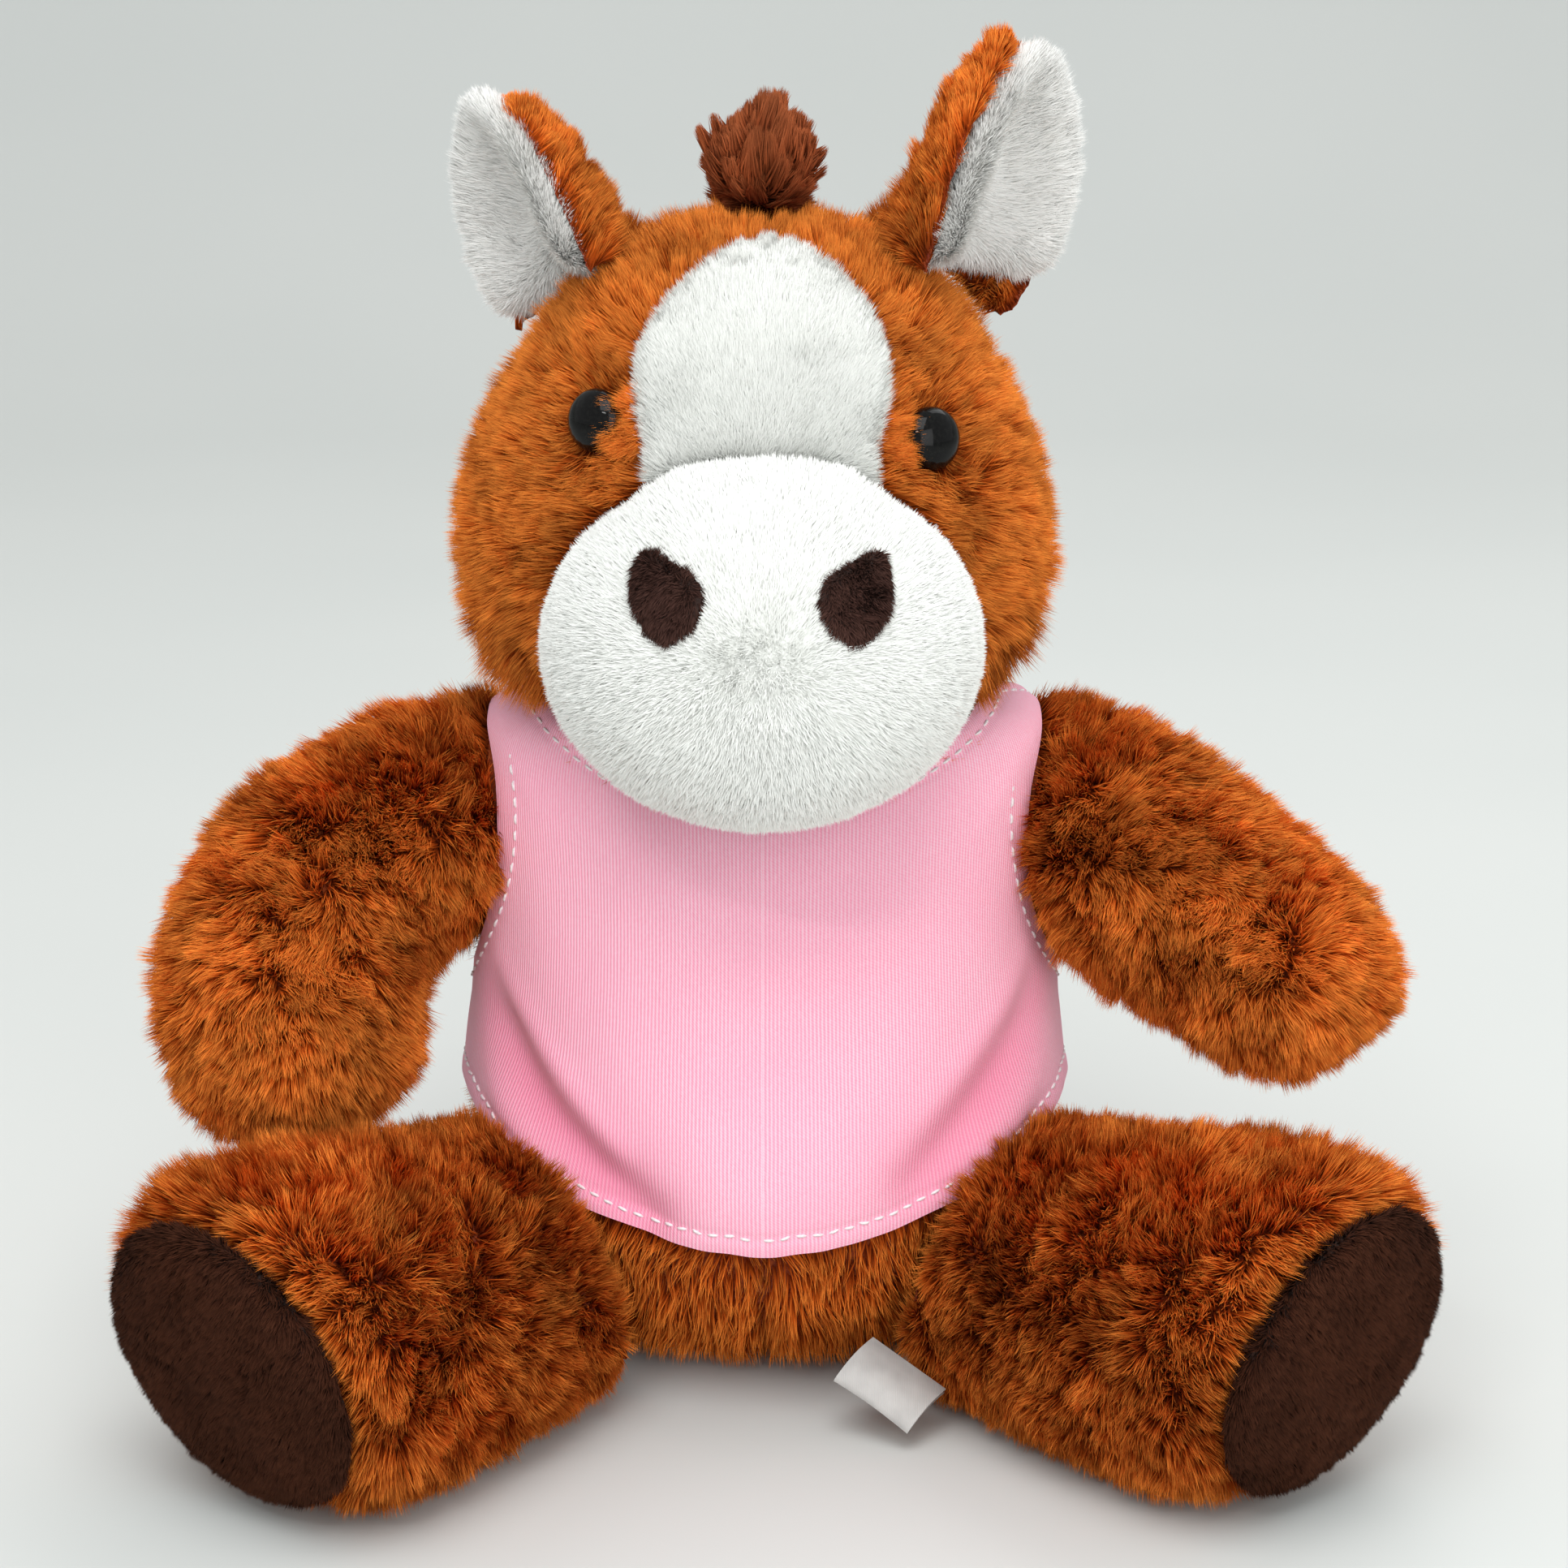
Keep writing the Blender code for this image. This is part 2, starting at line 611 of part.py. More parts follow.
def ear_place(name, side):
    """Return the matrix that stands an ear on its pivot, leaning out and back and facing out and forward."""
    lean = Matrix.Rotation(EAR_LEAN[name] * side, 4, "Y")
    tilt = Matrix.Rotation(-EAR_TILT[name], 4, "X")
    yaw = Matrix.Rotation(EAR_YAW * side, 4, "Z")
    return Matrix.Translation(EAR_ROOT[name]) @ lean @ tilt @ yaw


def ear_pivot(name, side):
    """Return the foot of an ear's back, where the ear flexes."""
    height, _, cup = EAR_BLADE[1]
    return ear_place(name, side) @ (Vector((0, cup / 2 + EAR_PIVOT_BACK, height)) * EAR_SCALE[name])


def ear_leaf(node, name, side, rows, inset, thickness, parts, material):
    """Make a cupped leaf: rows of columns bent to a trough, thickened and rounded."""
    scale = EAR_SCALE[name]
    bm = bmesh.new()
    grid = []
    for height, half_width, cup in rows:
        line = []
        for column in range(EAR_COLUMNS):
            bend = (2 * column / (EAR_COLUMNS - 1) - 1) * EAR_WRAP
            x = max(half_width - inset, EAR_LEAST) * math.sin(bend)
            y = max(cup - inset, EAR_LEAST / 2) * math.cos(bend) - cup / 2
            line.append(bm.verts.new(Vector((x, y, height)) * scale))
        grid.append(line)
    for low, high in zip(grid, grid[1:]):
        for column in range(EAR_COLUMNS - 1):
            bm.faces.new((low[column], low[column + 1], high[column + 1], high[column]))
    bmesh.ops.transform(bm, matrix=ear_place(name, side), verts=bm.verts)
    leaf = add_object(node, bm, parts, material)
    wall = leaf.modifiers.new("wall", "SOLIDIFY")
    wall.thickness = thickness * scale
    wall.offset = 0
    return smooth(leaf)


def build_ears(parts, cutters, fur, white):
    """Make both ears: a furry back on a ball root, and the white lining cupped inside it."""
    clearance = as_cutter(head_form("head clearance", cutters, grow=HEAD_CLEARANCE))
    inset = (EAR_BACK + EAR_LINING) / 2 + EAR_GAP
    for name, side in SIDES:
        root = ear_pivot(name, side)
        back = ear_leaf(f"ear_{name}", name, side, EAR_BLADE, 0, EAR_BACK, parts, fur)
        hinge = ear_place(name, side).to_3x3() @ X_AXIS
        carve(back, clearance, root, hinge, EAR_SWING)
        combine(back, ball(f"ear ball {name}", root, EAR_BALL, cutters), "UNION")
        lining = ear_leaf(f"ear_lining_{name}", name, side, EAR_BLADE[LINING_START:], inset, EAR_LINING, parts, white)
        carve(lining, clearance, root, hinge, EAR_SWING)


def build_mane(parts, mane, head_skin):
    """Make the crest of the mane, seated on the head."""
    crest = spine_form("mane", MANE_SPINE, MANE_RADII, MANE_ENDS, parts, mane)
    combine(crest, head_skin)


def build_tail(parts, cutters, mane):
    """Make the tail: a tuft that thickens and tapers from its ball."""
    start = Vector(TAIL_SPINE[0]) - Y_AXIS * 0.002
    tail = spine_form("tail", TAIL_SPINE, TAIL_RADII, (start, TAIL_TIP), parts, mane)
    rump = as_cutter(stacked_form("tail clearance", TORSO, TORSO_ENDS, cutters, grow=TAIL_CLEARANCE))
    carve(tail, rump, TAIL_ROOT, Z_AXIS, TAIL_SWING)
    combine(tail, ball("tail ball", TAIL_ROOT, TAIL_BALL, cutters), "UNION")


def cloth_form(name, grow, collection, material=None):
    """Return an offset of the torso whose lower part hangs in soft folds."""
    cloth = stacked_form(name, TORSO, TORSO_ENDS, collection, material, grow=grow)
    for vertex in cloth.data.vertices:
        x, y, z = vertex.co
        hang = max(0.0, min(1.0, (FOLD_TOP - z) / FOLD_TOP * 2))
        wave = 0.5 + 0.5 * math.cos(FOLD_COUNT * math.atan2(x, -y))
        reach = math.hypot(x, y)
        if reach > 0:
            vertex.co.x += x / reach * (FOLD_DEPTH * wave + FLARE * abs(x) / reach) * hang
            vertex.co.y += y / reach * FOLD_DEPTH * hang * wave
    return cloth


def build_tank_top(parts, cutters, jersey):
    """Make the front and back of the tank top and cut its neckline, armholes and hem."""
    inside = as_cutter(cloth_form("cloth inside", CLOTH_OFFSET, cutters))
    reach = 0.10
    spans = {"front": (-reach, SEAM_DEPTH), "back": (SEAM_DEPTH + SEAM_GAP, reach)}
    for half, (near, far) in spans.items():
        panel = cloth_form(f"shirt_{half}", CLOTH_OFFSET + CLOTH_THICK, parts, jersey)
        hem = arc_radius(*HEM[half])
        combine(panel, front_cylinder(f"hem {half}", hem, HEM[half][0] + hem, near, far, cutters), "INTERSECT")
        combine(panel, inside)
        scoop = arc_radius(*NECKLINE[half])
        middle = NECKLINE[half][0] + scoop
        combine(panel, front_cylinder(f"neckline {half}", scoop, middle, near - 0.01, far + 0.01, cutters))
        for name, side in SIDES:
            combine(panel, armhole(f"armhole {name}", side, cutters))
            combine(panel, ball(f"shoulder room {half} {name}", mirrored(SHOULDER, side), SHOULDER_ROOM, cutters))


def armhole(name, side, cutters):
    """Return the oval cutter of an armhole."""
    existing = cutters.objects.get(name)
    if existing:
        return existing
    depth = 0.04
    bm = bmesh.new()
    bmesh.ops.create_cone(bm, cap_ends=True, segments=32, radius1=1, radius2=1, depth=depth)
    bmesh.ops.scale(bm, vec=(ARMHOLE[1], ARMHOLE[0], 1), verts=bm.verts)
    middle = Vector(((ARMHOLE_START + depth / 2) * side, SHOULDER.y, SHOULDER.z - ARMHOLE_DROP))
    place = Matrix.Translation(middle) @ Matrix.Rotation(math.pi / 2, 4, "Y")
    bmesh.ops.transform(bm, matrix=place, verts=bm.verts)
    return as_cutter(add_object(name, bm, cutters))


def build_label(parts, ribbon):
    """Make the folded ribbon label, bare, with its fold at the outer end."""
    bm = bmesh.new()
    profile = [(LABEL_LENGTH, LABEL_FOLD)]
    for step in range(7):
        angle = math.pi / 2 + math.pi * step / 6
        profile.append((LABEL_FOLD * (1 + math.cos(angle)), LABEL_FOLD * math.sin(angle)))
    profile.append((LABEL_LENGTH, -LABEL_FOLD))
    face_axis = LABEL_WIDTH_AXIS.cross(LABEL_LENGTH_AXIS).normalized()
    length_axis = face_axis.cross(LABEL_WIDTH_AXIS).normalized()
    edges = []
    for along in (0, LABEL_WIDTH):
        edges.append([bm.verts.new(LABEL_CORNER + LABEL_WIDTH_AXIS * along + length_axis * x + face_axis * y)
                      for x, y in profile])
    for step in range(len(profile) - 1):
        bm.faces.new((edges[0][step], edges[0][step + 1], edges[1][step + 1], edges[1][step]))
    label = add_object("label", bm, parts, ribbon)
    wall = label.modifiers.new("wall", "SOLIDIFY")
    wall.thickness = LABEL_THICK
    wall.offset = 0


def main():
    """Build every piece of the horse."""
    clear_scene()
    parts = new_collection("plush_horse")
    cutters = new_collection("cutters")
    fur = new_material("brown pile", (0.40, 0.085, 0.012), 0.95)
    white = new_material("white pile", (0.86, 0.87, 0.82), 0.9)
    dark = new_material("dark brown pile", (0.040, 0.012, 0.006), 0.9)
    auburn = new_material("auburn pile", (0.17, 0.035, 0.010), 0.95)
    jersey = new_material("pink jersey", (0.93, 0.45, 0.58), 0.85)
    satin = new_material("white satin", (0.80, 0.79, 0.76), 0.45)
    glass_black = new_material("black gloss", (0.004, 0.004, 0.004), 0.08)
    nylon = new_material("white nylon", (0.70, 0.70, 0.68), 0.5)

    clearance = as_cutter(stacked_form("torso clearance", TORSO, TORSO_ENDS, cutters, grow=CLOTH_CLEARANCE))
    build_body(parts, cutters, fur)
    build_neck(parts, fur)
    build_arms(parts, cutters, fur, clearance)
    build_legs(parts, cutters, fur, dark, clearance)
    build_head(parts, cutters, fur)
    head_skin = build_face(parts, cutters, white, dark)
    build_eyes(parts, glass_black, nylon)
    build_ears(parts, cutters, fur, white)
    build_mane(parts, auburn, head_skin)
    build_tail(parts, cutters, auburn)
    build_tank_top(parts, cutters, jersey)
    build_label(parts, satin)


main()
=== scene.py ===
"""Dresses a sitting plush horse: stuffed forms under a brushed pile, a knitted tank top, eyes and studio.

Metres, +Z up. The horse faces -Y and its left side is +X. Every stuffed form starts from the frame's own
solid, so it stays where the solid is, and the pile grows from it strand by strand.
"""

import logging
import math
from dataclasses import dataclass, field
from enum import Enum
from functools import lru_cache
from typing import Callable, Optional, Sequence

import bpy
import numpy as np
from mathutils import Matrix, Vector, noise
from mathutils.bvhtree import BVHTree
from mathutils.kdtree import KDTree


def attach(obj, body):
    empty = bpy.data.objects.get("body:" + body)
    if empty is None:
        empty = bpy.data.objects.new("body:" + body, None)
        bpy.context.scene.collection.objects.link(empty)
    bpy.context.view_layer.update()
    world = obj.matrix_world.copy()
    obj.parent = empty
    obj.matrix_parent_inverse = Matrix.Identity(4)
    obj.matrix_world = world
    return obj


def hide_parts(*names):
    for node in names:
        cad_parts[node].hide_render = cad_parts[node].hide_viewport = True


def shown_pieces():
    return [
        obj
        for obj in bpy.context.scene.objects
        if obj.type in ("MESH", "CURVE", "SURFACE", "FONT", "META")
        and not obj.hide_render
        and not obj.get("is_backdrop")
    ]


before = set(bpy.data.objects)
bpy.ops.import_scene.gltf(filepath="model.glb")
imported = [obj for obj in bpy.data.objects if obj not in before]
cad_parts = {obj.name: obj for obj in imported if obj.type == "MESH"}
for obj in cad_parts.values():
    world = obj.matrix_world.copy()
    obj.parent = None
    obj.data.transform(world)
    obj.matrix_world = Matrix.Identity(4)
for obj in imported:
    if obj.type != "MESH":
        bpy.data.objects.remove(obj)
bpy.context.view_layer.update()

# The noise's random offset would otherwise come from the clock
noise.seed_set(1)

log = logging.getLogger("plush_horse")

Array = np.ndarray
Point = tuple[float, float, float]
Flow = Callable[[Array, Array], Array]
Piece = bpy.types.Object

STRAND_UV = "OFBake"
CLOTH_UV = "cloth"
# The attribute that holds the tank top's painted shade, in its folds and at its lower sides
FOLD_SHADE = "painted_fold_shade"
PHOTO_PIXELS = 1932

# The distance from one wale of the jersey to the next and from one course to the next, and its map's scale
WALE = 0.00068
COURSE = 0.00055
MAP_SCALE = 2

# How far a root looks for what holds or covers it, and the room that a strand leaves before a neighbour
NEAR = 0.03
COVER = 0.0045
ROOM = 0.0005
FLOOR_ROOM = 0.0003

# Tufts: the broad and the random share of their stray, how much of it strands follow, the random and the
# broad share of their tint, and how far they run into each other
TUFT_STRAY = (1.6, 0.25)
TUFT_PULL = 0.6
TUFT_TINT = (0.35, 0.30)
TUFT_BLUR = 0.22

# Strands: how much their directions, sizes and tints differ, the range of sizes, the least rise off the form,
# their bow, their width halfway up, and the share of its length at which a shortened one is dropped
STRAND_STRAY = 0.13
STRAND_SIZE = 0.14
STRAND_TINT = 0.13
SIZE_RANGE = (0.5, 1.4)
LEAST_RISE = 0.16
BEND = 0.30
TAPER = 0.85
STUBBLE = 0.35

# Nodes whose form differs enough from the solid that neighbours keep clear of the form instead
RESHAPED = ("blaze", "ear_lining_left", "ear_lining_right")


class Side(Enum):
    """A side of the horse, with the sign of its X."""

    LEFT = ("left", 1)
    RIGHT = ("right", -1)

    @property
    def word(self) -> str:
        """The side's name as the frame's nodes spell it."""
        return self.value[0]

    @property
    def sign(self) -> int:
        """The sign of X on this side."""
        return self.value[1]


def only_select(obj: Piece) -> None:
    """Make one object the only selected and active one.

    Args:
        obj: The object to select.
    """
    bpy.ops.object.select_all(action="DESELECT")
    obj.select_set(True)
    bpy.context.view_layer.objects.active = obj


def apply_modifiers(obj: Piece) -> None:
    """Apply each of an object's modifiers in order.

    Args:
        obj: The object whose modifiers are applied.
    """
    only_select(obj)
    for modifier in list(obj.modifiers):
        bpy.ops.object.modifier_apply(modifier=modifier.name)


def new_piece(name: str, mesh: bpy.types.Mesh, material: Optional[bpy.types.Material] = None) -> Piece:
    """Link a mesh into the scene as a piece at the origin.

    Args:
        name: The piece's name.
        mesh: Its mesh, with its place in its vertices.
        material: The material of its first slot.

    Returns:
        The new object.
    """
    obj = bpy.data.objects.new(name, mesh)
    bpy.context.scene.collection.objects.link(obj)
    if material:
        mesh.materials.clear()
        mesh.materials.append(material)
    return obj


def mesh_arrays(mesh: bpy.types.Mesh) -> tuple[Array, Array, Array]:
    """Read a mesh as arrays.

    Args:
        mesh: The mesh to read.

    Returns:
        Vertex places, vertex normals and the corners of its triangles.
    """
    mesh.calc_loop_triangles()
    places = np.zeros(len(mesh.vertices) * 3, np.float32)
    mesh.vertices.foreach_get("co", places)
    normals = np.zeros(len(mesh.vertices) * 3, np.float32)
    mesh.vertex_normals.foreach_get("vector", normals)
    corners = np.zeros(len(mesh.loop_triangles) * 3, np.int32)
    mesh.loop_triangles.foreach_get("vertices", corners)
    return places.reshape(-1, 3).astype(float), normals.reshape(-1, 3).astype(float), corners.reshape(-1, 3)


def unit(vectors: Array) -> Array:
    """Return vectors scaled to length one."""
    return vectors / np.maximum(np.linalg.norm(vectors, axis=-1, keepdims=True), 1e-9)


class Tree:
    """A short way to add nodes to a material or a node group."""

    def __init__(self, tree: bpy.types.NodeTree) -> None:
        """Keep the tree that nodes are added to."""
        self.tree = tree

    def node(self, kind: str, inputs: Optional[dict] = None, **settings: object) -> bpy.types.Node:
        """Add a node, set its options and fill or link its inputs.

        Args:
            kind: The node's type name.
            inputs: Values or sockets by the input's name or number.
            settings: Options of the node itself.

        Returns:
            The node.
        """
        made = self.tree.nodes.new(kind)
        for key, value in settings.items():
            setattr(made, key, value)
        for key, value in (inputs or {}).items():
            socket = made.inputs[key]
            if isinstance(value, bpy.types.NodeSocket):
                self.tree.links.new(value, socket)
            else:
                socket.default_value = value
        return made

    def math(self, operation: str, first: object, second: object = 0.0) -> bpy.types.NodeSocket:
        """Add a Math node and return its result."""
        return self.node("ShaderNodeMath", {0: first, 1: second}, operation=operation).outputs[0]

    def ramp(self, value: object, stops: Sequence[tuple[float, tuple]]) -> bpy.types.NodeSocket:
        """Add a colour ramp.

        Args:
            value: The socket that drives it.
            stops: Positions and linear colours.

        Returns:
            Its colour socket.
        """
        made = self.node("ShaderNodeValToRGB", {0: value})
        ramp = made.color_ramp
        while len(ramp.elements) < len(stops):
            ramp.elements.new(0.5)
        for element, (position, colour) in zip(ramp.elements, stops):
            element.position = position
            element.color = (*colour[:3], 1)
        return made.outputs[0]

    def mix(self, blend: str, factor: object, first: object, second: object) -> bpy.types.NodeSocket:
        """Blend two colours and return the result.

        Args:
            blend: The blend's type.
            factor: How much of the second colour is taken.
            first: A colour or a socket.
            second: A colour or a socket.

        Returns:
            The result's socket.
        """
        made = self.node("ShaderNodeMix", {0: factor}, data_type="RGBA", blend_type=blend)
        for number, value in ((6, first), (7, second)):
            if isinstance(value, bpy.types.NodeSocket):
                self.tree.links.new(value, made.inputs[number])
            else:
                made.inputs[number].default_value = (*value[:3], 1)
        return made.outputs[2]


def material_tree(name: str) -> tuple[bpy.types.Material, Tree, bpy.types.Node]:
    """Start a material.

    Args:
        name: Its name.

    Returns:
        The material, its tree and its Principled shader.
    """
    material = bpy.data.materials.new(name)
    material.use_nodes = True
    return material, Tree(material.node_tree), material.node_tree.nodes["Principled BSDF"]


def strand_group() -> bpy.types.NodeTree:
    """Return the shared group that colours a strand from its root to its tip, with a tint of its own.

    Returns:
        The node group, built once.
    """
    existing = bpy.data.node_groups.get("strand colour")
    if existing:
        return existing
    group = bpy.data.node_groups.new("strand colour", "ShaderNodeTree")
    number, colour = "NodeSocketFloat", "NodeSocketColor"
    for name, kind in (("Along", number), ("Tint", number), ("Root", colour), ("Middle", colour),
                       ("Tip", colour), ("Spread", number)):
        group.interface.new_socket(name, in_out="INPUT", socket_type=kind)
    group.interface.new_socket("Color", in_out="OUTPUT", socket_type=colour)
    tree = Tree(group)
    inside = tree.node("NodeGroupInput")
    twice = tree.math("MULTIPLY", inside.outputs["Along"], 2.0)
    low = tree.node("ShaderNodeClamp", {0: twice}).outputs[0]
    high = tree.node("ShaderNodeClamp", {0: tree.math("SUBTRACT", twice, 1.0)}).outputs[0]
    strand = tree.mix("MIX", low, inside.outputs["Root"], inside.outputs["Middle"])
    strand = tree.mix("MIX", high, strand, inside.outputs["Tip"])
    shade = tree.math("SUBTRACT", inside.outputs["Tint"], 0.5)
    shade = tree.math("ADD", tree.math("MULTIPLY", shade, inside.outputs["Spread"]), 1.0)
    grey = tree.node("ShaderNodeCombineColor", {0: shade, 1: shade, 2: shade}).outputs[0]
    tree.node("NodeGroupOutput", {"Color": tree.mix("MULTIPLY", 1.0, strand, grey)})
    return group


@dataclass(frozen=True)
class PileFinish:
    """The finish of a brushed pile and of the backing it stands on.

    Attributes:
        name: The strands' material.
        root: The linear colour at a strand's root, dark partly as the pile's own colour and partly as painted
            shade deep in the pile.
        middle: The colour halfway up.
        tip: The colour at its tip.
        spread: How much strands differ in brightness.
        roughness: Their roughness.
        sheen: The weight of their sheen.
    """

    name: str
    root: Point
    middle: Point
    tip: Point
    spread: float
    roughness: float
    sheen: float = 0.0

    def strands(self) -> bpy.types.Material:
        """Return the strands' material: dark roots, partly painted shade deep in the pile, lighter tips, and
        a tint for each strand.

        Returns:
            The material, built once.
        """
        existing = bpy.data.materials.get(self.name)
        if existing:
            return existing
        material, tree, shader = material_tree(self.name)
        where = tree.node("ShaderNodeUVMap", uv_map=STRAND_UV).outputs[0]
        split = tree.node("ShaderNodeSeparateXYZ", {0: where})
        group = tree.node("ShaderNodeGroup", node_tree=strand_group())
        tree.tree.links.new(split.outputs[1], group.inputs["Along"])
        tree.tree.links.new(split.outputs[0], group.inputs["Tint"])
        group.inputs["Root"].default_value = (*self.root, 1)
        group.inputs["Middle"].default_value = (*self.middle, 1)
        group.inputs["Tip"].default_value = (*self.tip, 1)
        group.inputs["Spread"].default_value = self.spread
        tree.tree.links.new(group.outputs[0], shader.inputs["Base Color"])
        shader.inputs["Roughness"].default_value = self.roughness
        shader.inputs["Specular IOR Level"].default_value = 0.10
        shader.inputs["Sheen Weight"].default_value = self.sheen
        shader.inputs["Sheen Roughness"].default_value = 0.4
        return material

    def backing(self) -> bpy.types.Material:
        """Return the material of the knitted backing that shows between the strands.

        Returns:
            The material, built once.
        """
        name = f"{self.name} backing"
        existing = bpy.data.materials.get(name)
        if existing:
            return existing
        material, tree, shader = material_tree(name)
        where = tree.node("ShaderNodeTexCoord").outputs["Object"]
        knit = tree.node("ShaderNodeTexNoise", {"Vector": where, "Scale": 900.0, "Detail": 3.0}).outputs[0]
        # The backing takes the roots' colours, dark partly as painted shade deep in the pile
        half = tuple((a + b) / 2 for a, b in zip(self.root, self.middle))
        colour = tree.ramp(knit, ((0.35, self.root), (0.65, half)))
        tree.tree.links.new(colour, shader.inputs["Base Color"])
        bump = tree.node("ShaderNodeBump", {"Height": knit, "Strength": 0.6, "Distance": 0.0006})
        tree.tree.links.new(bump.outputs[0], shader.inputs["Normal"])
        shader.inputs["Roughness"].default_value = 0.9
        return material


BROWN = PileFinish("brown pile", (0.175, 0.018, 0.002), (0.52, 0.095, 0.008), (0.86, 0.285, 0.045),
                   spread=0.95, roughness=0.85)
WHITE = PileFinish("white pile", (0.82, 0.83, 0.80), (0.90, 0.91, 0.88), (0.93, 0.94, 0.91),
                   spread=0.03, roughness=0.9, sheen=0.1)
LINING = PileFinish("ear lining pile", (0.80, 0.79, 0.75), (0.91, 0.905, 0.88), (0.96, 0.955, 0.935),
                    spread=0.06, roughness=0.9, sheen=0.1)
DARK = PileFinish("dark brown pile", (0.012, 0.004, 0.002), (0.044, 0.013, 0.006), (0.085, 0.029, 0.014),
                  spread=0.9, roughness=0.85)
NOSTRIL = PileFinish("nostril pile", (0.022, 0.009, 0.007), (0.062, 0.028, 0.021), (0.100, 0.047, 0.037),
                     spread=0.7, roughness=0.85)
AUBURN = PileFinish("auburn pile", (0.070, 0.013, 0.003), (0.25, 0.054, 0.015), (0.43, 0.120, 0.042),
                    spread=0.7, roughness=0.85)


def gloss_black() -> bpy.types.Material:
    """Return the eyes' material: black plastic that shines, with faint dust.

    Returns:
        The material, built once.
    """
    existing = bpy.data.materials.get("black gloss")
    if existing:
        return existing
    material, tree, shader = material_tree("black gloss")
    where = tree.node("ShaderNodeTexCoord").outputs["Object"]
    dust = tree.node("ShaderNodeTexNoise", {"Vector": where, "Scale": 1500.0, "Detail": 2.0}).outputs[0]
    tree.tree.links.new(tree.ramp(dust, ((0.45, (0.003, 0.003, 0.003)), (0.80, (0.008, 0.008, 0.007)))),
                        shader.inputs["Base Color"])
    tree.tree.links.new(tree.math("MULTIPLY", dust, 0.16), shader.inputs["Roughness"])
    shader.inputs["Specular IOR Level"].default_value = 0.16
    return material


def jersey() -> bpy.types.Material:
    """Return the tank top's material: pink jersey with fine wales up the cloth, and painted shade in its
    folds and at its lower sides.

    Returns:
        The material.
    """
    material, tree, shader = material_tree("pink jersey")
    where = tree.node("ShaderNodeUVMap", uv_map=CLOTH_UV).outputs[0]
    place = tree.node("ShaderNodeTexCoord").outputs["Object"]
    split = tree.node("ShaderNodeSeparateXYZ", {0: where})
    wobble = tree.node("ShaderNodeTexNoise", {"Vector": place, "Scale": 260.0, "Detail": 2.0}).outputs[0]
    across = tree.math("MULTIPLY", split.outputs[0], math.tau / MAP_SCALE / WALE)
    phase = tree.math("ADD", across, tree.math("MULTIPLY", wobble, 1.6))
    wale = tree.math("ADD", tree.math("MULTIPLY", tree.math("SINE", phase), 0.5), 0.5)
    upward = tree.math("MULTIPLY", split.outputs[1], math.tau / MAP_SCALE / COURSE)
    row = tree.math("SINE", tree.math("ADD", upward, phase))
    fibre = tree.node("ShaderNodeTexNoise", {"Vector": place, "Scale": 1600.0, "Detail": 3.0}).outputs[0]
    broad = tree.node("ShaderNodeTexNoise", {"Vector": place, "Scale": 45.0, "Detail": 2.0}).outputs[0]
    knit = tree.math("ADD", tree.math("MULTIPLY", wale, 0.75), tree.math("MULTIPLY", row, 0.12))
    height = tree.math("ADD", knit, tree.math("MULTIPLY", fibre, 0.5))
    pinks = ((0.15, (0.95, 0.34, 0.49)), (0.60, (1.0, 0.46, 0.61)), (1.0, (1.0, 0.64, 0.75)))
    colour = tree.ramp(height, pinks)
    faded = tree.ramp(broad, ((0.35, (0, 0, 0)), (0.75, (0.22, 0.22, 0.22))))
    colour = tree.mix("MIX", faded, colour, (0.95, 0.33, 0.49))
    # Painted shade: deeper pink in the grooves of the folds and at the lower sides
    fold_shade = tree.node("ShaderNodeAttribute", attribute_name=FOLD_SHADE).outputs["Fac"]
    colour = tree.mix("MIX", fold_shade, colour, (0.82, 0.15, 0.30))
    tree.tree.links.new(colour, shader.inputs["Base Color"])
    bump = tree.node("ShaderNodeBump", {"Height": height, "Strength": 0.55, "Distance": 0.00022})
    tree.tree.links.new(bump.outputs[0], shader.inputs["Normal"])
    shader.inputs["Roughness"].default_value = 0.75
    shader.inputs["Sheen Weight"].default_value = 0.2
    return material


def thread() -> bpy.types.Material:
    """Return the stitches' material: white twisted thread.

    Returns:
        The material.
    """
    material, tree, shader = material_tree("white thread")
    where = tree.node("ShaderNodeTexCoord").outputs["Object"]
    twist = tree.node("ShaderNodeTexNoise", {"Vector": where, "Scale": 2500.0, "Detail": 1.0}).outputs[0]
    tree.tree.links.new(tree.ramp(twist, ((0.3, (0.80, 0.72, 0.74)), (0.7, (0.95, 0.92, 0.93)))),
                        shader.inputs["Base Color"])
    shader.inputs["Roughness"].default_value = 0.6
    return material


def satin() -> bpy.types.Material:
    """Return the label's material: white ribbon with a fine weave, dimmed to grey as painted shade from the
    leg.

    Returns:
        The material.
    """
    material, tree, shader = material_tree("white satin")
    where = tree.node("ShaderNodeTexCoord").outputs["Object"]
    weave = tree.node("ShaderNodeTexWave", {"Vector": where, "Scale": 900.0, "Distortion": 0.6}).outputs[1]
    cloud = tree.node("ShaderNodeTexNoise", {"Vector": where, "Scale": 180.0}).outputs[0]
    # Painted shade: the white ribbon's colour is dimmed to grey, as if in the leg's shade
    tree.tree.links.new(tree.ramp(cloud, ((0.3, (0.43, 0.42, 0.405)), (0.7, (0.53, 0.52, 0.50)))),
                        shader.inputs["Base Color"])
    bump = tree.node("ShaderNodeBump", {"Height": weave, "Strength": 0.3, "Distance": 0.0001})
    tree.tree.links.new(bump.outputs[0], shader.inputs["Normal"])
    shader.inputs["Roughness"].default_value = 0.45
    return material


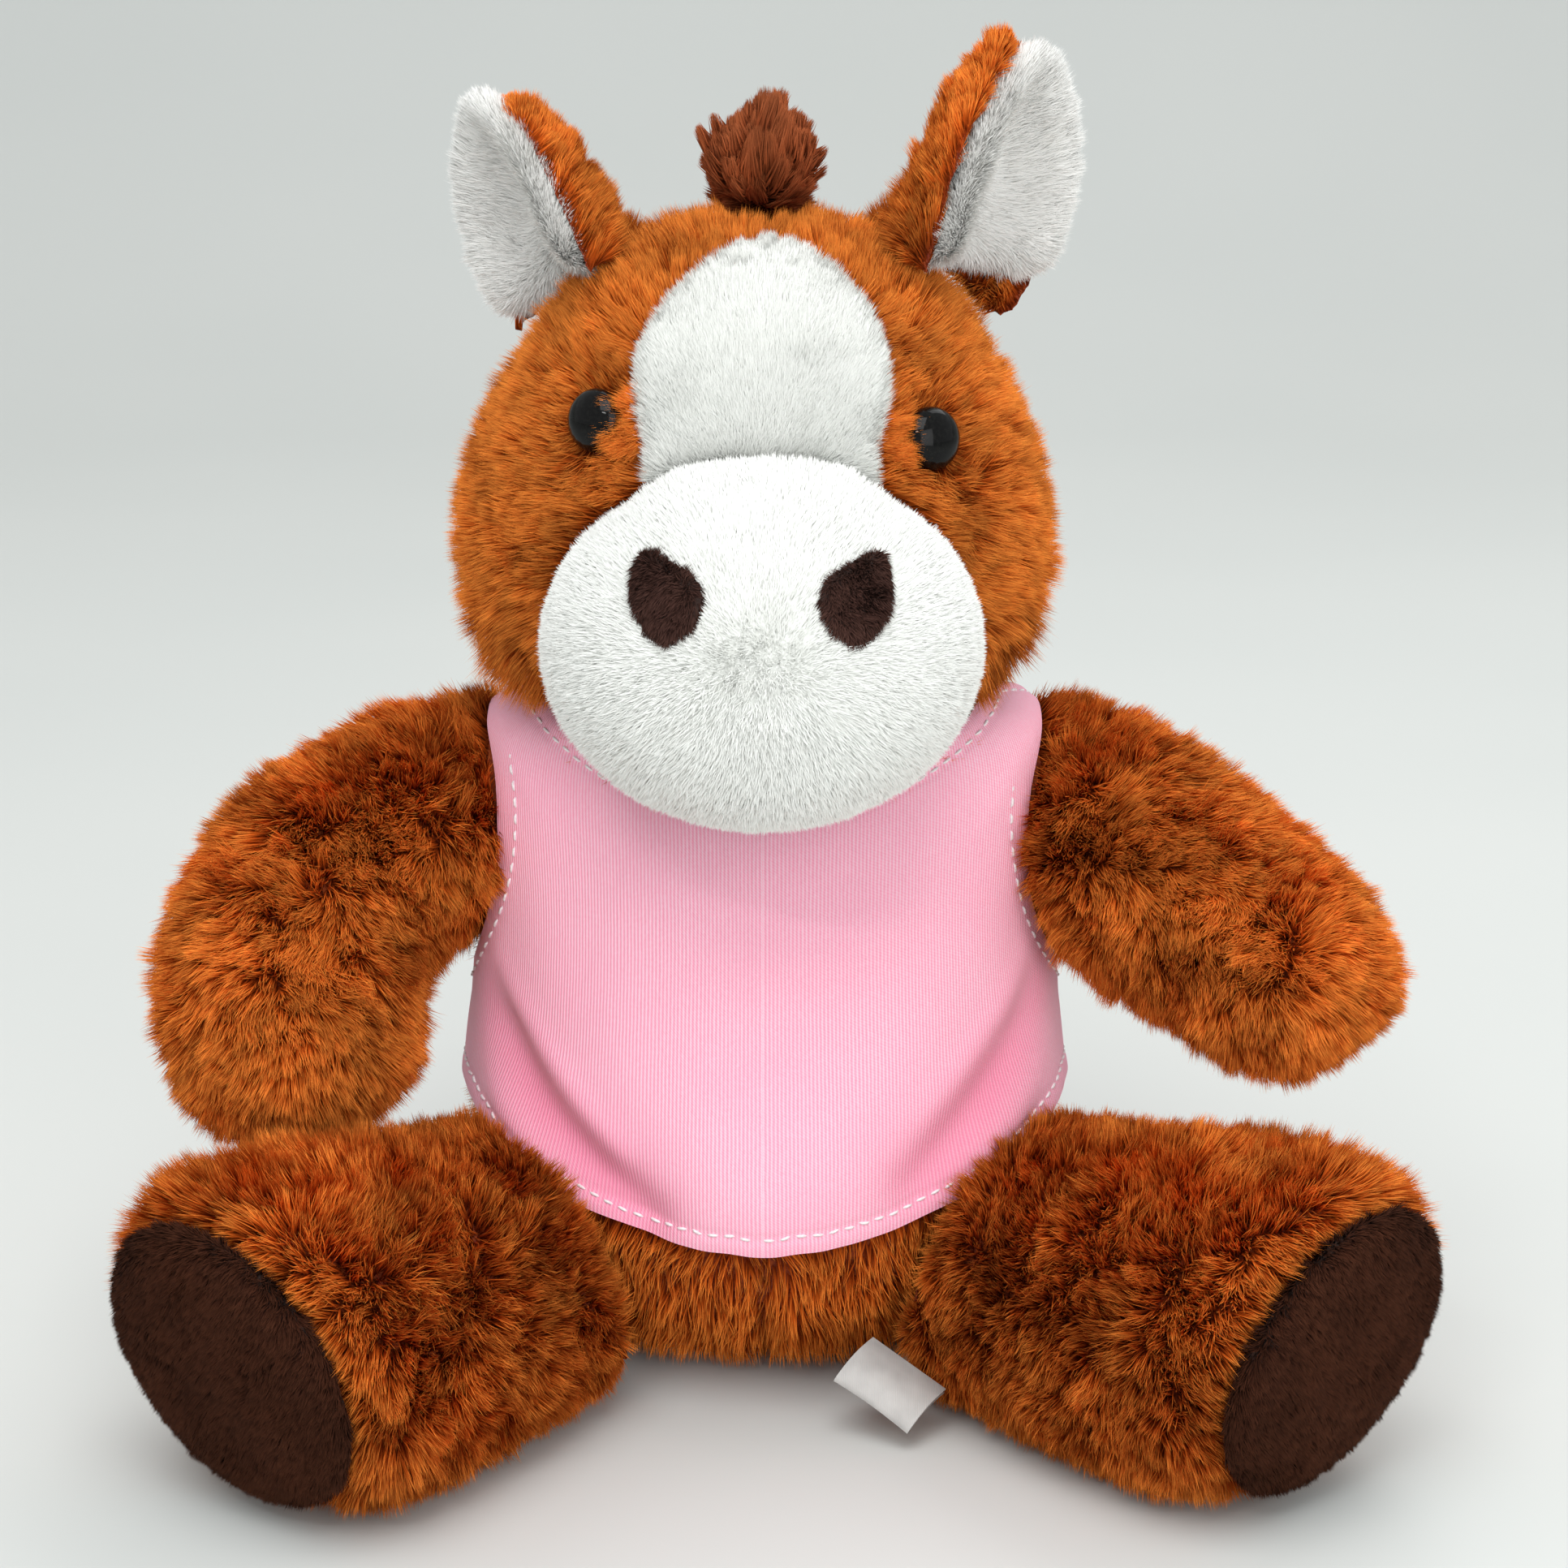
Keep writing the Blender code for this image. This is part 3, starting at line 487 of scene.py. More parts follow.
@dataclass
class Stuffed:
    """A stuffed form: the frame's solid, merged, rounded by a voxel remesh and smoothed.

    Attributes:
        node: The frame node it replaces.
        voxel: The remesh's grid, in metres.
        smoothing: Rounds of smoothing.
        sink: How far the backing lies under the solid's surface, in metres.
        back: How far the whole form is set back, in metres.
        fill: Round stuffing that is added: its middle and half sizes.
        shape: Moves the form's vertices, where it differs a little from the solid.
    """

    node: str
    voxel: float = 0.0024
    smoothing: int = 6
    sink: float = 0.0010
    back: float = 0.0
    fill: Sequence[tuple[Point, Point]] = ()
    shape: Optional[Callable[[Array], Array]] = None

    def build(self, finish: PileFinish) -> Piece:
        """Make the form and dress it.

        Args:
            finish: The pile whose backing it shows.

        Returns:
            The form, as a piece that isn't yet declared.
        """
        form = new_piece(f"{self.node}_form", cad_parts[self.node].data.copy())
        only_select(form)
        bpy.ops.object.mode_set(mode="EDIT")
        bpy.ops.mesh.select_all(action="SELECT")
        bpy.ops.mesh.remove_doubles(threshold=0.00001)
        for middle, sizes in self.fill:
            bpy.ops.mesh.primitive_uv_sphere_add(segments=48, ring_count=24, radius=1, location=middle,
                                                 scale=sizes)
        bpy.ops.object.mode_set(mode="OBJECT")
        remesh = form.modifiers.new("voxels", "REMESH")
        remesh.mode = "VOXEL"
        remesh.voxel_size = self.voxel
        remesh.use_smooth_shade = True
        smooth = form.modifiers.new("smooth", "SMOOTH")
        smooth.factor = 0.5
        smooth.iterations = self.smoothing
        if self.sink:
            sink = form.modifiers.new("sink", "DISPLACE")
            sink.strength = -self.sink
            sink.mid_level = 0.0
        apply_modifiers(form)
        form.data.transform(Matrix.Translation((0, self.back, 0)))
        if self.shape:
            places = self.shape(mesh_arrays(form.data)[0])
            form.data.vertices.foreach_set("co", places.astype(np.float32).ravel())
            form.data.update()
        form.data.materials.clear()
        form.data.materials.append(finish.backing())
        bpy.ops.object.shade_smooth()
        return form


def eased(normals: Array, corners: Array, rounds: int = 14) -> Array:
    """Even out the normals of neighbouring vertices.

    Args:
        normals: The vertices' normals.
        corners: The triangles' corners.
        rounds: How often each is averaged with its neighbours.

    Returns:
        The eased normals.
    """
    pairs = np.concatenate([corners[:, [0, 1]], corners[:, [1, 2]], corners[:, [2, 0]]])
    for _ in range(rounds):
        total = normals.copy()
        for axis in range(3):
            total[:, axis] += np.bincount(pairs[:, 0], normals[pairs[:, 1], axis], len(normals))
            total[:, axis] += np.bincount(pairs[:, 1], normals[pairs[:, 0], axis], len(normals))
        normals = unit(total)
    return normals


@lru_cache(maxsize=None)
def node_trees(nodes: tuple[str, ...]) -> Optional[BVHTree]:
    """Return one search tree of several frame nodes' surfaces.

    Args:
        nodes: The nodes' names.

    Returns:
        The tree, or None where no node is named.
    """
    if not nodes:
        return None
    points: list[Vector] = []
    faces: list[tuple[int, ...]] = []
    for name in nodes:
        source = bpy.data.objects[f"{name}_form"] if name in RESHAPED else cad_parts[name]
        places, _, corners = mesh_arrays(source.data)
        faces += [tuple(int(i) + len(points) for i in corner) for corner in corners]
        points += [Vector(place) for place in places]
    return BVHTree.FromPolygons(points, faces)


def wander(places: Array, scale: float, seed: int) -> Array:
    """Return smooth random vectors.

    Args:
        places: Where they are asked for.
        scale: The size of a swell, in metres.
        seed: Shifts the pattern.

    Returns:
        One vector for each place, of length about a half.
    """
    shift = Vector((seed * 13.7, seed * 7.1, seed * 3.3))
    return np.array([noise.noise_vector(Vector(place) / scale + shift) for place in places])


def everywhere(value: float) -> Callable[[Array], Array]:
    """Return a field with the same value everywhere."""
    return lambda at: np.full(len(at), value)


@dataclass
class Pile:
    """Strands that grow from a form: flat, tapered, bent over, combed, and drawn together in tufts.

    Attributes:
        name: The piece's name.
        count: How many strands are drawn before bare places are left out.
        length: A strand's length, in metres.
        width: Its width at the root.
        stand: How much it stands up, from 0, combed flat, to 1, upright.
        wild: How much each tuft's direction strays.
        tuft: The distance between tufts, in metres.
        gather: How far the tips of a tuft draw together.
        steps: How many stretches a strand has, one or two.
        seed: The random draw's seed.
        soft: How much a strand is shaded as the form below it.
        twist: How much strands turn about their own line.
        swell: The size of the broad changes of direction.
        keep: How likely a root is, by place and normal.
        reach: A factor of the length, by place.
        tone: A shift of the tint, by place.
        bare: Frame nodes, and how far roots stay away from them.
        clear: Frame nodes that strands don't enter, cover or stand under.
        cover: How near a neighbour leaves a root without a strand.
        ragged: How much tufts differ in length.
    """

    name: str
    count: int
    length: float
    width: float
    stand: float = 0.45
    wild: float = 0.5
    tuft: float = 0.0028
    gather: float = 0.45
    steps: int = 1
    seed: int = 1
    soft: float = 0.25
    twist: float = 0.8
    swell: float = 0.011
    keep: Optional[Callable[[Array, Array], Array]] = None
    reach: Callable[[Array], Array] = everywhere(1.0)
    tone: Callable[[Array], Array] = everywhere(0.0)
    bare: Sequence[tuple[str, float]] = ()
    clear: tuple[str, ...] = ()
    cover: float = COVER
    ragged: float = 0.10

    def roots(self, form: Piece, rng: np.random.Generator) -> tuple[Array, Array]:
        """Draw root points evenly over a form and leave out the bare places.

        Args:
            form: The form that the strands stand on.
            rng: The random draw.

        Returns:
            Places and normals of the roots.
        """
        places, normals, corners = mesh_arrays(form.data)
        normals = eased(normals, corners)
        a, b, c = (places[corners[:, k]] for k in range(3))
        area = np.linalg.norm(np.cross(b - a, c - a), axis=1)
        if self.keep is not None:
            area = area * self.keep((a + b + c) / 3, unit(np.cross(b - a, c - a)))
        chosen = rng.choice(len(corners), self.count, p=area / area.sum())
        u, v = rng.random((2, self.count))
        flip = u + v > 1
        u[flip], v[flip] = 1 - u[flip], 1 - v[flip]
        weights = np.stack([1 - u - v, u, v], 1)[:, :, None]
        at = (places[corners[chosen]] * weights).sum(1)
        up = unit((normals[corners[chosen]] * weights).sum(1))
        stays = self.open_places(at, up)
        return at[stays], up[stays]

    def open_places(self, at: Array, up: Array) -> Array:
        """Find the roots that no other piece holds or covers.

        Args:
            at: The roots.
            up: Their normals.

        Returns:
            True for each root that stays.
        """
        stays = np.ones(len(at), bool)
        for node, margin in self.bare:
            tree = node_trees((node,))
            for index in np.nonzero(stays)[0]:
                stays[index] = tree.find_nearest(Vector(at[index]), margin)[0] is None
        tree = node_trees(self.clear)
        if tree is None:
            return stays
        for index in np.nonzero(stays)[0]:
            way = Vector(up[index])
            hit, normal, _, far = tree.ray_cast(Vector(at[index]), way, NEAR)
            stays[index] = hit is None or (normal.dot(way) < 0 and far > self.cover)
        return stays

    def grow(self, form: Piece, flow: Flow, finish: PileFinish) -> Piece:
        """Grow the strands into one mesh.

        Args:
            form: The form that they stand on.
            flow: The combing direction at given places and normals.
            finish: The pile's finish.

        Returns:
            The new piece.
        """
        rng = np.random.default_rng(self.seed)
        at, up = self.roots(form, rng)
        number = len(at)
        comb = flow(at, up)
        comb = comb - up * np.minimum((comb * up).sum(1, keepdims=True), 0)
        owner, centres = self.tufts(at, rng)
        many = len(centres)
        broad, fine = wander(centres, self.swell, self.seed), wander(centres, self.swell / 3, self.seed + 7)
        stray = (broad * TUFT_STRAY[0] + fine + rng.normal(size=(many, 3)) * TUFT_STRAY[1]) * self.wild
        tuft_size = 1 + rng.normal(size=many) * self.ragged
        tuft_shade = (rng.random(many) - 0.5) * TUFT_TINT[0]
        tuft_shade = tuft_shade + wander(centres, self.swell, self.seed + 3)[:, 0] * TUFT_TINT[1]

        lean = up * self.stand + comb * (1 - self.stand) + stray[owner] * TUFT_PULL
        lean = unit(lean + rng.normal(size=(number, 3)) * STRAND_STRAY)
        lean = unit(lean + up * np.maximum(LEAST_RISE - (lean * up).sum(1, keepdims=True), 0))
        own_size = 1 + rng.normal(size=number) * STRAND_SIZE
        length = (self.length * (np.clip(tuft_size[owner] * own_size, *SIZE_RANGE) * self.reach(at)))[:, None]
        tip = at + lean * length
        tally = np.bincount(owner, minlength=many)[:, None]
        sums = [np.bincount(owner, tip[:, axis], many) for axis in range(3)]
        heart = np.stack(sums, 1) / np.maximum(tally, 1)
        tip = tip + (heart[owner] - tip) * self.gather
        tip, stays = self.shortened(at, tip)
        at, up, tip, owner, length = at[stays], up[stays], tip[stays], owner[stays], length[stays]
        number = len(at)

        bend = at + up * length * BEND + (tip - at) * BEND
        line = unit(tip - at)
        twist = rng.normal(size=(number, 1)) * self.twist
        level = unit(np.cross(line, up) + rng.normal(size=(number, 3)) * 0.05)
        side = level * np.cos(twist) + np.cross(level, line) * np.sin(twist)
        face = np.cross(side, line)
        half = side * self.width * 0.5
        if self.steps == 1:
            rows = [at - half, at + half, tip]
            along = [0.0, 0.0, 1.0]
        else:
            middle = at * 0.25 + bend * 0.5 + tip * 0.25
            rows = [at - half, at + half, middle - half * TAPER, middle + half * TAPER, tip]
            along = [0.0, 0.0, 0.5, 0.5, 1.0]
        tint = 0.5 + tuft_shade[owner] + rng.normal(size=number) * STRAND_TINT + self.tone(at)
        shading = unit(up * self.soft + unit(face) * (1 - self.soft))
        points = np.stack(rows, 1).reshape(-1, 3)
        points[:, 2] = np.maximum(points[:, 2], FLOOR_ROOM)
        log.info("%s: %d strands", self.name, number)
        return self.ribbon_mesh(points, shading, along, np.clip(tint, 0.02, 0.98), finish)

    def tufts(self, at: Array, rng: np.random.Generator) -> tuple[Array, Array]:
        """Give each root to the nearest tuft.

        Args:
            at: The roots.
            rng: The random draw.

        Returns:
            Each root's tuft number, and the tufts' places.
        """
        cells = np.floor(at / self.tuft).astype(np.int64)
        order = rng.permutation(len(at))
        _, first = np.unique(cells[order], axis=0, return_index=True)
        centres = at[order[first]]
        search = KDTree(len(centres))
        for number, place in enumerate(centres):
            search.insert(place, number)
        search.balance()
        jitter = at + rng.normal(size=at.shape) * self.tuft * TUFT_BLUR
        return np.array([search.find(place)[1] for place in jitter]), centres

    def shortened(self, at: Array, tip: Array) -> tuple[Array, Array]:
        """Shorten strands that would enter a neighbour, and drop what would be left as stubble.

        Args:
            at: The roots.
            tip: The tips.

        Returns:
            The corrected tips, and True for each strand that stays.
        """
        tip = tip.copy()
        stays = np.ones(len(at), bool)
        tree = node_trees(self.clear)
        if tree is None:
            return tip, stays
        span = tip - at
        reach = np.linalg.norm(span, axis=1)
        for index in range(len(at)):
            way = Vector(span[index])
            hit, _, _, far = tree.ray_cast(Vector(at[index]), way, float(reach[index]) + ROOM)
            if hit is None:
                continue
            left = (far - ROOM) / reach[index]
            stays[index] = left > STUBBLE
            tip[index] = at[index] + span[index] * min(max(left, 0.05), 1)
        return tip, stays

    def ribbon_mesh(self, points: Array, shading: Array, along: list[float], tint: Array,
                    finish: PileFinish) -> Piece:
        """Make the strands' mesh, with its strand map and its shading.

        Args:
            points: Their vertices, strand after strand.
            shading: Each strand's shading normal.
            along: How far along the strand each of its vertices lies.
            tint: Each strand's tint, from 0 to 1.
            finish: The pile's finish.

        Returns:
            The piece.
        """
        per = len(along)
        number = len(tint)
        shape = [(0, 1, 2)] if self.steps == 1 else [(0, 1, 3, 2), (2, 3, 4)]
        order = [corner for face in shape for corner in face]
        corners = (np.arange(number)[:, None] * per + np.array(order)[None]).reshape(-1)
        sizes = np.tile(np.array([len(face) for face in shape]), number)
        starts = np.concatenate([[0], np.cumsum(sizes)[:-1]])
        mesh = bpy.data.meshes.new(self.name)
        mesh.vertices.add(len(points))
        mesh.vertices.foreach_set("co", points.astype(np.float32).ravel())
        mesh.loops.add(len(corners))
        mesh.loops.foreach_set("vertex_index", corners.astype(np.int32))
        mesh.polygons.add(len(sizes))
        mesh.polygons.foreach_set("loop_start", starts.astype(np.int32))
        mesh.polygons.foreach_set("loop_total", sizes.astype(np.int32))
        strand_map = mesh.uv_layers.new(name=STRAND_UV)
        sides = [0.0 if corner == per - 1 else (1.0 if corner % 2 else -1.0) for corner in order]
        across = np.clip(tint[:, None] + np.array(sides)[None] * 0.004, 0.004, 0.996)
        up_strand = np.tile(np.array([along[corner] for corner in order]) * 0.97 + 0.015, (number, 1))
        strand_map.data.foreach_set("uv", np.stack([across, up_strand], 2).astype(np.float32).ravel())
        mesh.update(calc_edges=True)
        mesh.shade_smooth()
        mesh.normals_split_custom_set_from_vertices(np.repeat(shading, per, 0).tolist())
        return new_piece(self.name, mesh, finish.strands())


def steady(direction: Point) -> Flow:
    """Return a flow that is the same everywhere."""
    return lambda at, up: np.tile(np.array(direction, float), (len(at), 1))


def away_from(centre: Point, scale: Point = (1, 1, 1), pull: Point = (0, 0, 0)) -> Flow:
    """Return a flow that leaves a point.

    Args:
        centre: The point.
        scale: How much each axis counts.
        pull: A steady direction that is added.

    Returns:
        The flow.
    """
    return lambda at, up: unit((at - np.array(centre)) * np.array(scale)) + np.array(pull)


def along_path(path: Sequence[Point], pull: Point = (0, 0, 0)) -> Flow:
    """Return a flow that follows a path.

    Args:
        path: Its points.
        pull: A steady direction that is added.

    Returns:
        The flow.
    """
    points = np.array(path, float)
    steps = unit(points[1:] - points[:-1])
    middles = (points[1:] + points[:-1]) / 2

    def flow(at: Array, up: Array) -> Array:
        """Return the direction of the stretches nearby, the nearest most.

        Args:
            at: The strands' roots.
            up: Their normals. Not used.

        Returns:
            The combing directions.
        """
        distance = np.linalg.norm(at[:, None] - middles[None], axis=2)
        weight = np.exp(-(distance / 0.014) ** 2) + 1e-9
        return (steps[None] * weight[:, :, None]).sum(1) / weight.sum(1)[:, None] + np.array(pull)

    return flow


def near_point(at: Array, point: Point, radius: float) -> Array:
    """Return how near places are to a point: 1 at it, fading to 0 past the radius."""
    return np.exp(-(np.linalg.norm(at - np.array(point), axis=1) / radius) ** 2)


def near_line(at: Array, start: Point, end: Point, radius: float) -> Array:
    """Return how near places are to a stretch of line: 1 on it, fading to 0 past the radius.

    Args:
        at: The places.
        start: The stretch's start.
        end: Its end.
        radius: How far it reaches, in metres.

    Returns:
        The nearness of each place.
    """
    first, way = np.array(start), np.array(end) - np.array(start)
    along = np.clip(((at - first) @ way) / (way @ way), 0, 1)
    return np.exp(-(np.linalg.norm(at - first - along[:, None] * way, axis=1) / radius) ** 2)


def with_turns(base: Flow, *turns: tuple[Point, float, object]) -> Flow:
    """Return a flow that takes another direction round some points.

    Args:
        base: The flow elsewhere.
        turns: Each a point, a radius, and a direction, or None where the pile leaves the point on every side.

    Returns:
        The flow.
    """

    def flow(at: Array, up: Array) -> Array:
        """Return the base flow, with each turn blended in round its point.

        Args:
            at: The strands' roots.
            up: Their normals.

        Returns:
            The combing directions.
        """
        result = base(at, up)
        for point, radius, direction in turns:
            weight = near_point(at, point, radius)[:, None]
            turned = unit(at - np.array(point)) if direction is None else np.array(direction, float)[None]
            result = result * (1 - weight) + turned * weight * 1.3
        return result

    return flow


def run_along(line: Array) -> Array:
    """Return how far along a line each of its points lies."""
    return np.concatenate([[0], np.cumsum(np.linalg.norm(np.diff(line, axis=0), axis=1))])


def declare(piece: Piece, body: str, slot: str, *nodes: str) -> Piece:
    """Let a piece ride on a body and hide the nodes that it stands for.

    Args:
        piece: The piece.
        body: The frame's body.
        slot: Not used.
        nodes: The frame nodes that it replaces.

    Returns:
        The piece.
    """
    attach(piece, body)
    if nodes:
        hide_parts(*nodes)
    return piece


def padded_form(stuffed: Stuffed, finish: PileFinish, body: str, slot: str) -> Piece:
    """Args:
        stuffed: How the form is made.
        finish: The pile whose backing it shows.
        body: The frame's body that it rides on.
        slot: The name of a material slot, passed on to declare.

    Returns:
        The form.
    """
    form = declare(stuffed.build(finish), body, slot, stuffed.node)
    return form


@dataclass
class Head:
    """The head: brown form and pile, white muzzle and blaze, nostrils, eyes and their brows.

    Attributes:
        face: The point that the head's pile leaves on all sides.
        nose: The point that the muzzle's pile leaves.
        eye_radius: The radius of an eye's dome, in metres.
        eye_height: How far a dome rises.
    """

    face: Point = (0.0, -0.080, 0.172)
    nose: Point = (0.0, -0.115, 0.168)
    eye_radius: float = 0.0059
    eye_height: float = 0.0036

    def build(self) -> None:
        """Make every piece of the head."""
        self.muzzle()
        self.blaze()
        form = padded_form(Stuffed("head", sink=0.0034, shape=self.narrowed), BROWN,
                           "head", "brown_pile")
        flow = with_turns(away_from(self.face, (1, 0.5, 1), (0, 0, -0.10)),
                          ((0.0, -0.020, 0.2240), 0.012, (0, 0.3, 1)),
                          ((-0.0335, -0.036, 0.2060), 0.010, (-0.25, -0.2, -1)),
                          ((0.0345, -0.036, 0.2030), 0.010, (0.25, -0.2, -1)),
                          (JOWLS[0], 0.011, (0.15, -0.25, -1)), (JOWLS[1], 0.011, (-0.15, -0.25, -1)),
                          (EYES[Side.RIGHT], 0.0085, None), (EYES[Side.LEFT], 0.0085, None))
        blocks = ("muzzle", "blaze", "eye_left", "eye_right", "mane", "shirt_front", "shirt_back")
        bare = (("eye_left", 0.0015), ("eye_right", 0.0015))
        for word, sign, count in (("front", -1, 150000), ("back", 1, 90000)):
            pile = Pile(f"head_pile_{word}", count, 0.0072, 0.00040, seed=11 + sign, bare=bare, clear=blocks,
                        stand=0.55, reach=self.reach, tone=self.tone,
                        keep=lambda at, up, s=sign: (at[:, 1] * s > 0) * 1.0)
            declare(pile.grow(form, flow, BROWN), "head", "brown_pile")
        for side in Side:
            self.eye(side)
            self.brow(form, side)

    @staticmethod
    def narrowed(at: Array) -> Array:
        """Bring the sides of the forehead, and the left cheek, in a little.

        Args:
            at: The form's vertices.

        Returns:
            Their new places.
        """
        at = at.copy()
        at[:, 0] *= 1 - 0.055 * np.exp(-((at[:, 2] - 0.206) / 0.014) ** 2)
        at[:, 0] -= 0.0032 * np.clip(at[:, 0] / 0.050, 0, 1) ** 2
        return at

    def brow(self, form: Piece, side: Side) -> None:
        """Grow the tuft between the blaze and an eye, which falls over the eye's inner edge.

        Args:
            form: The head's form.
            side: The eye's side.
        """
        eye = np.array(EYES[side])
        nose_side = tuple(eye + np.array((-0.0090 * side.sign, -0.0015, 0.0)))
        pile = Pile(f"brow_{side.word}", 4200, 0.0068, 0.00038, stand=0.58, wild=0.40, seed=35 + side.sign,
                    gather=0.35, ragged=0.2, tone=everywhere(0.06), clear=("blaze", "muzzle"),
                    keep=lambda at, up: (near_point(at, nose_side, 0.0046) > 0.4) * 1.0)
        declare(pile.grow(form, steady((0.9 * side.sign, -0.3, -0.45)), BROWN), "head", "brown_pile")

    def creases(self, at: Array) -> Array:
        """Return how near places are to the sunk lines of the face."""
        return np.max([near_line(at, start, end, 0.0032) for start, end in FACE_CREASES], axis=0)

    def reach(self, at: Array) -> Array:
        """Return the strands' length factor: short round the eyes and in the creases.

        Args:
            at: The strands' roots.

        Returns:
            Each strand's factor.
        """
        eyes = sum(near_point(at, place, 0.0075) for place in EYES.values())
        jowls = sum(near_point(at, place, 0.0095) for place in JOWLS)
        return 1 - 0.45 * np.clip(eyes, 0, 1) - 0.35 * self.creases(at) + 0.9 * np.clip(jowls, 0, 1)

    def tone(self, at: Array) -> Array:
        """Return the tint's shift: painted shade round the sunk eyes and in the creases."""
        eyes = sum(near_point(at, place, 0.0085) for place in EYES.values())
        # Painted shade: darker round the eyes and along the creases
        return -0.06 - 0.30 * np.clip(eyes, 0, 1) - 0.35 * self.creases(at)

    def muzzle(self) -> None:
        """Make the muzzle, its pile and the nostrils let onto it."""
        form = padded_form(Stuffed("muzzle", 0.0018, 8, 0.0009, shape=self.bridged), WHITE,
                           "head", "white_pile")
        pile = Pile("muzzle_pile", 140000, 0.0020, 0.00031, stand=0.36, wild=0.20, tuft=0.0016, gather=0.12,
                    seed=21, soft=0.35, clear=("nostril_left", "nostril_right"), reach=self.seams,
                    keep=lambda at, up: (at[:, 1] < -0.03) * 1.0)
        declare(pile.grow(form, away_from(self.nose), WHITE), "head", "white_pile")
        for side in Side:
            node = f"nostril_{side.word}"
            patch = Stuffed(node, 0.0006, 3, 0.0001, 0.0008).build(DARK)
            declare(patch, "head", "dark_brown_pile", node)
            pile = Pile(f"{node}_pile", 9000, 0.0020, 0.00024, stand=0.45, wild=0.5, tuft=0.0014, gather=0.3,
                        seed=23 + side.sign)
            declare(pile.grow(patch, steady((0, 0.1, -1)), NOSTRIL), "head", "dark_brown_pile")

    @staticmethod
    def bridged(at: Array) -> Array:
        """Raise the bridge of the nose between the two cheeks of the muzzle.

        Args:
            at: The form's vertices.

        Returns:
            Their new places.
        """
        at = at.copy()
        between = np.clip(1.15 - (at[:, 0] / 0.0225) ** 4, 0, 1)
        at[:, 2] += 0.0028 * (between * np.clip((at[:, 2] - 0.172) / 0.014, 0, 1))
        return at

    @staticmethod
    def seams(at: Array) -> Array:
        """Return the muzzle's length factor: short along the two seams that run down from the bridge.

        Args:
            at: The strands' roots.

        Returns:
            Each strand's factor.
        """
        lines = [near_line(at, (0.0208 * sign, -0.060, 0.1890), (0.0200 * sign, -0.074, 0.1830), 0.0012)
                 for sign in (-1, 1)]
        return 1 - 0.7 * np.max(lines, axis=0)

    @staticmethod
    def pointed(at: Array) -> Array:
        """Draw the blaze in towards its top, so that it ends in an arch.

        Args:
            at: The form's vertices.

        Returns:
            Their new places.
        """
        at = at.copy()
        rise = np.clip((at[:, 2] - 0.2060) / 0.0205, 0, 1)
        at[:, 0] = at[:, 0] * (1 - 0.30 * rise ** 1.5) + 0.0012 * rise
        return at

    def blaze(self) -> None:
        """Make the white panel on the forehead and its pile."""
        form = Stuffed("blaze", 0.0007, 3, 0.0001, 0.0008, shape=self.pointed).build(WHITE)
        declare(form, "head", "white_pile", "blaze")
        flow = away_from((0, 0, 0.150), (1.3, 0, 1))
        pile = Pile("blaze_pile", 90000, 0.0030, 0.00028, stand=0.36, wild=0.22, tuft=0.0019, gather=0.12,
                    seed=31, soft=0.35, keep=lambda at, up: (up[:, 1] < 0.3) * 1.0)
        declare(pile.grow(form, flow, WHITE), "head", "white_pile")

    def eye(self, side: Side) -> None:
        """Make an eye: a black dome that shines.

        Args:
            side: The eye's side.
        """
        bpy.ops.object.select_all(action="DESELECT")
        bpy.ops.mesh.primitive_uv_sphere_add(segments=48, ring_count=24, radius=1)
        eye = bpy.context.object
        eye.name = f"eye_{side.word}_dome"
        axis = Vector((0.56 * side.sign, -0.81, 0.17)).normalized()
        turn = axis.to_track_quat("Z", "Y").to_matrix().to_4x4()
        size = Matrix.Diagonal((self.eye_radius, self.eye_radius, self.eye_height, 1))
        eye.data.transform(Matrix.Translation(EYES[side]) @ turn @ size)
        bpy.ops.object.shade_smooth()
        eye.data.materials.append(gloss_black())
        declare(eye, "head", "black_gloss", f"eye_{side.word}")


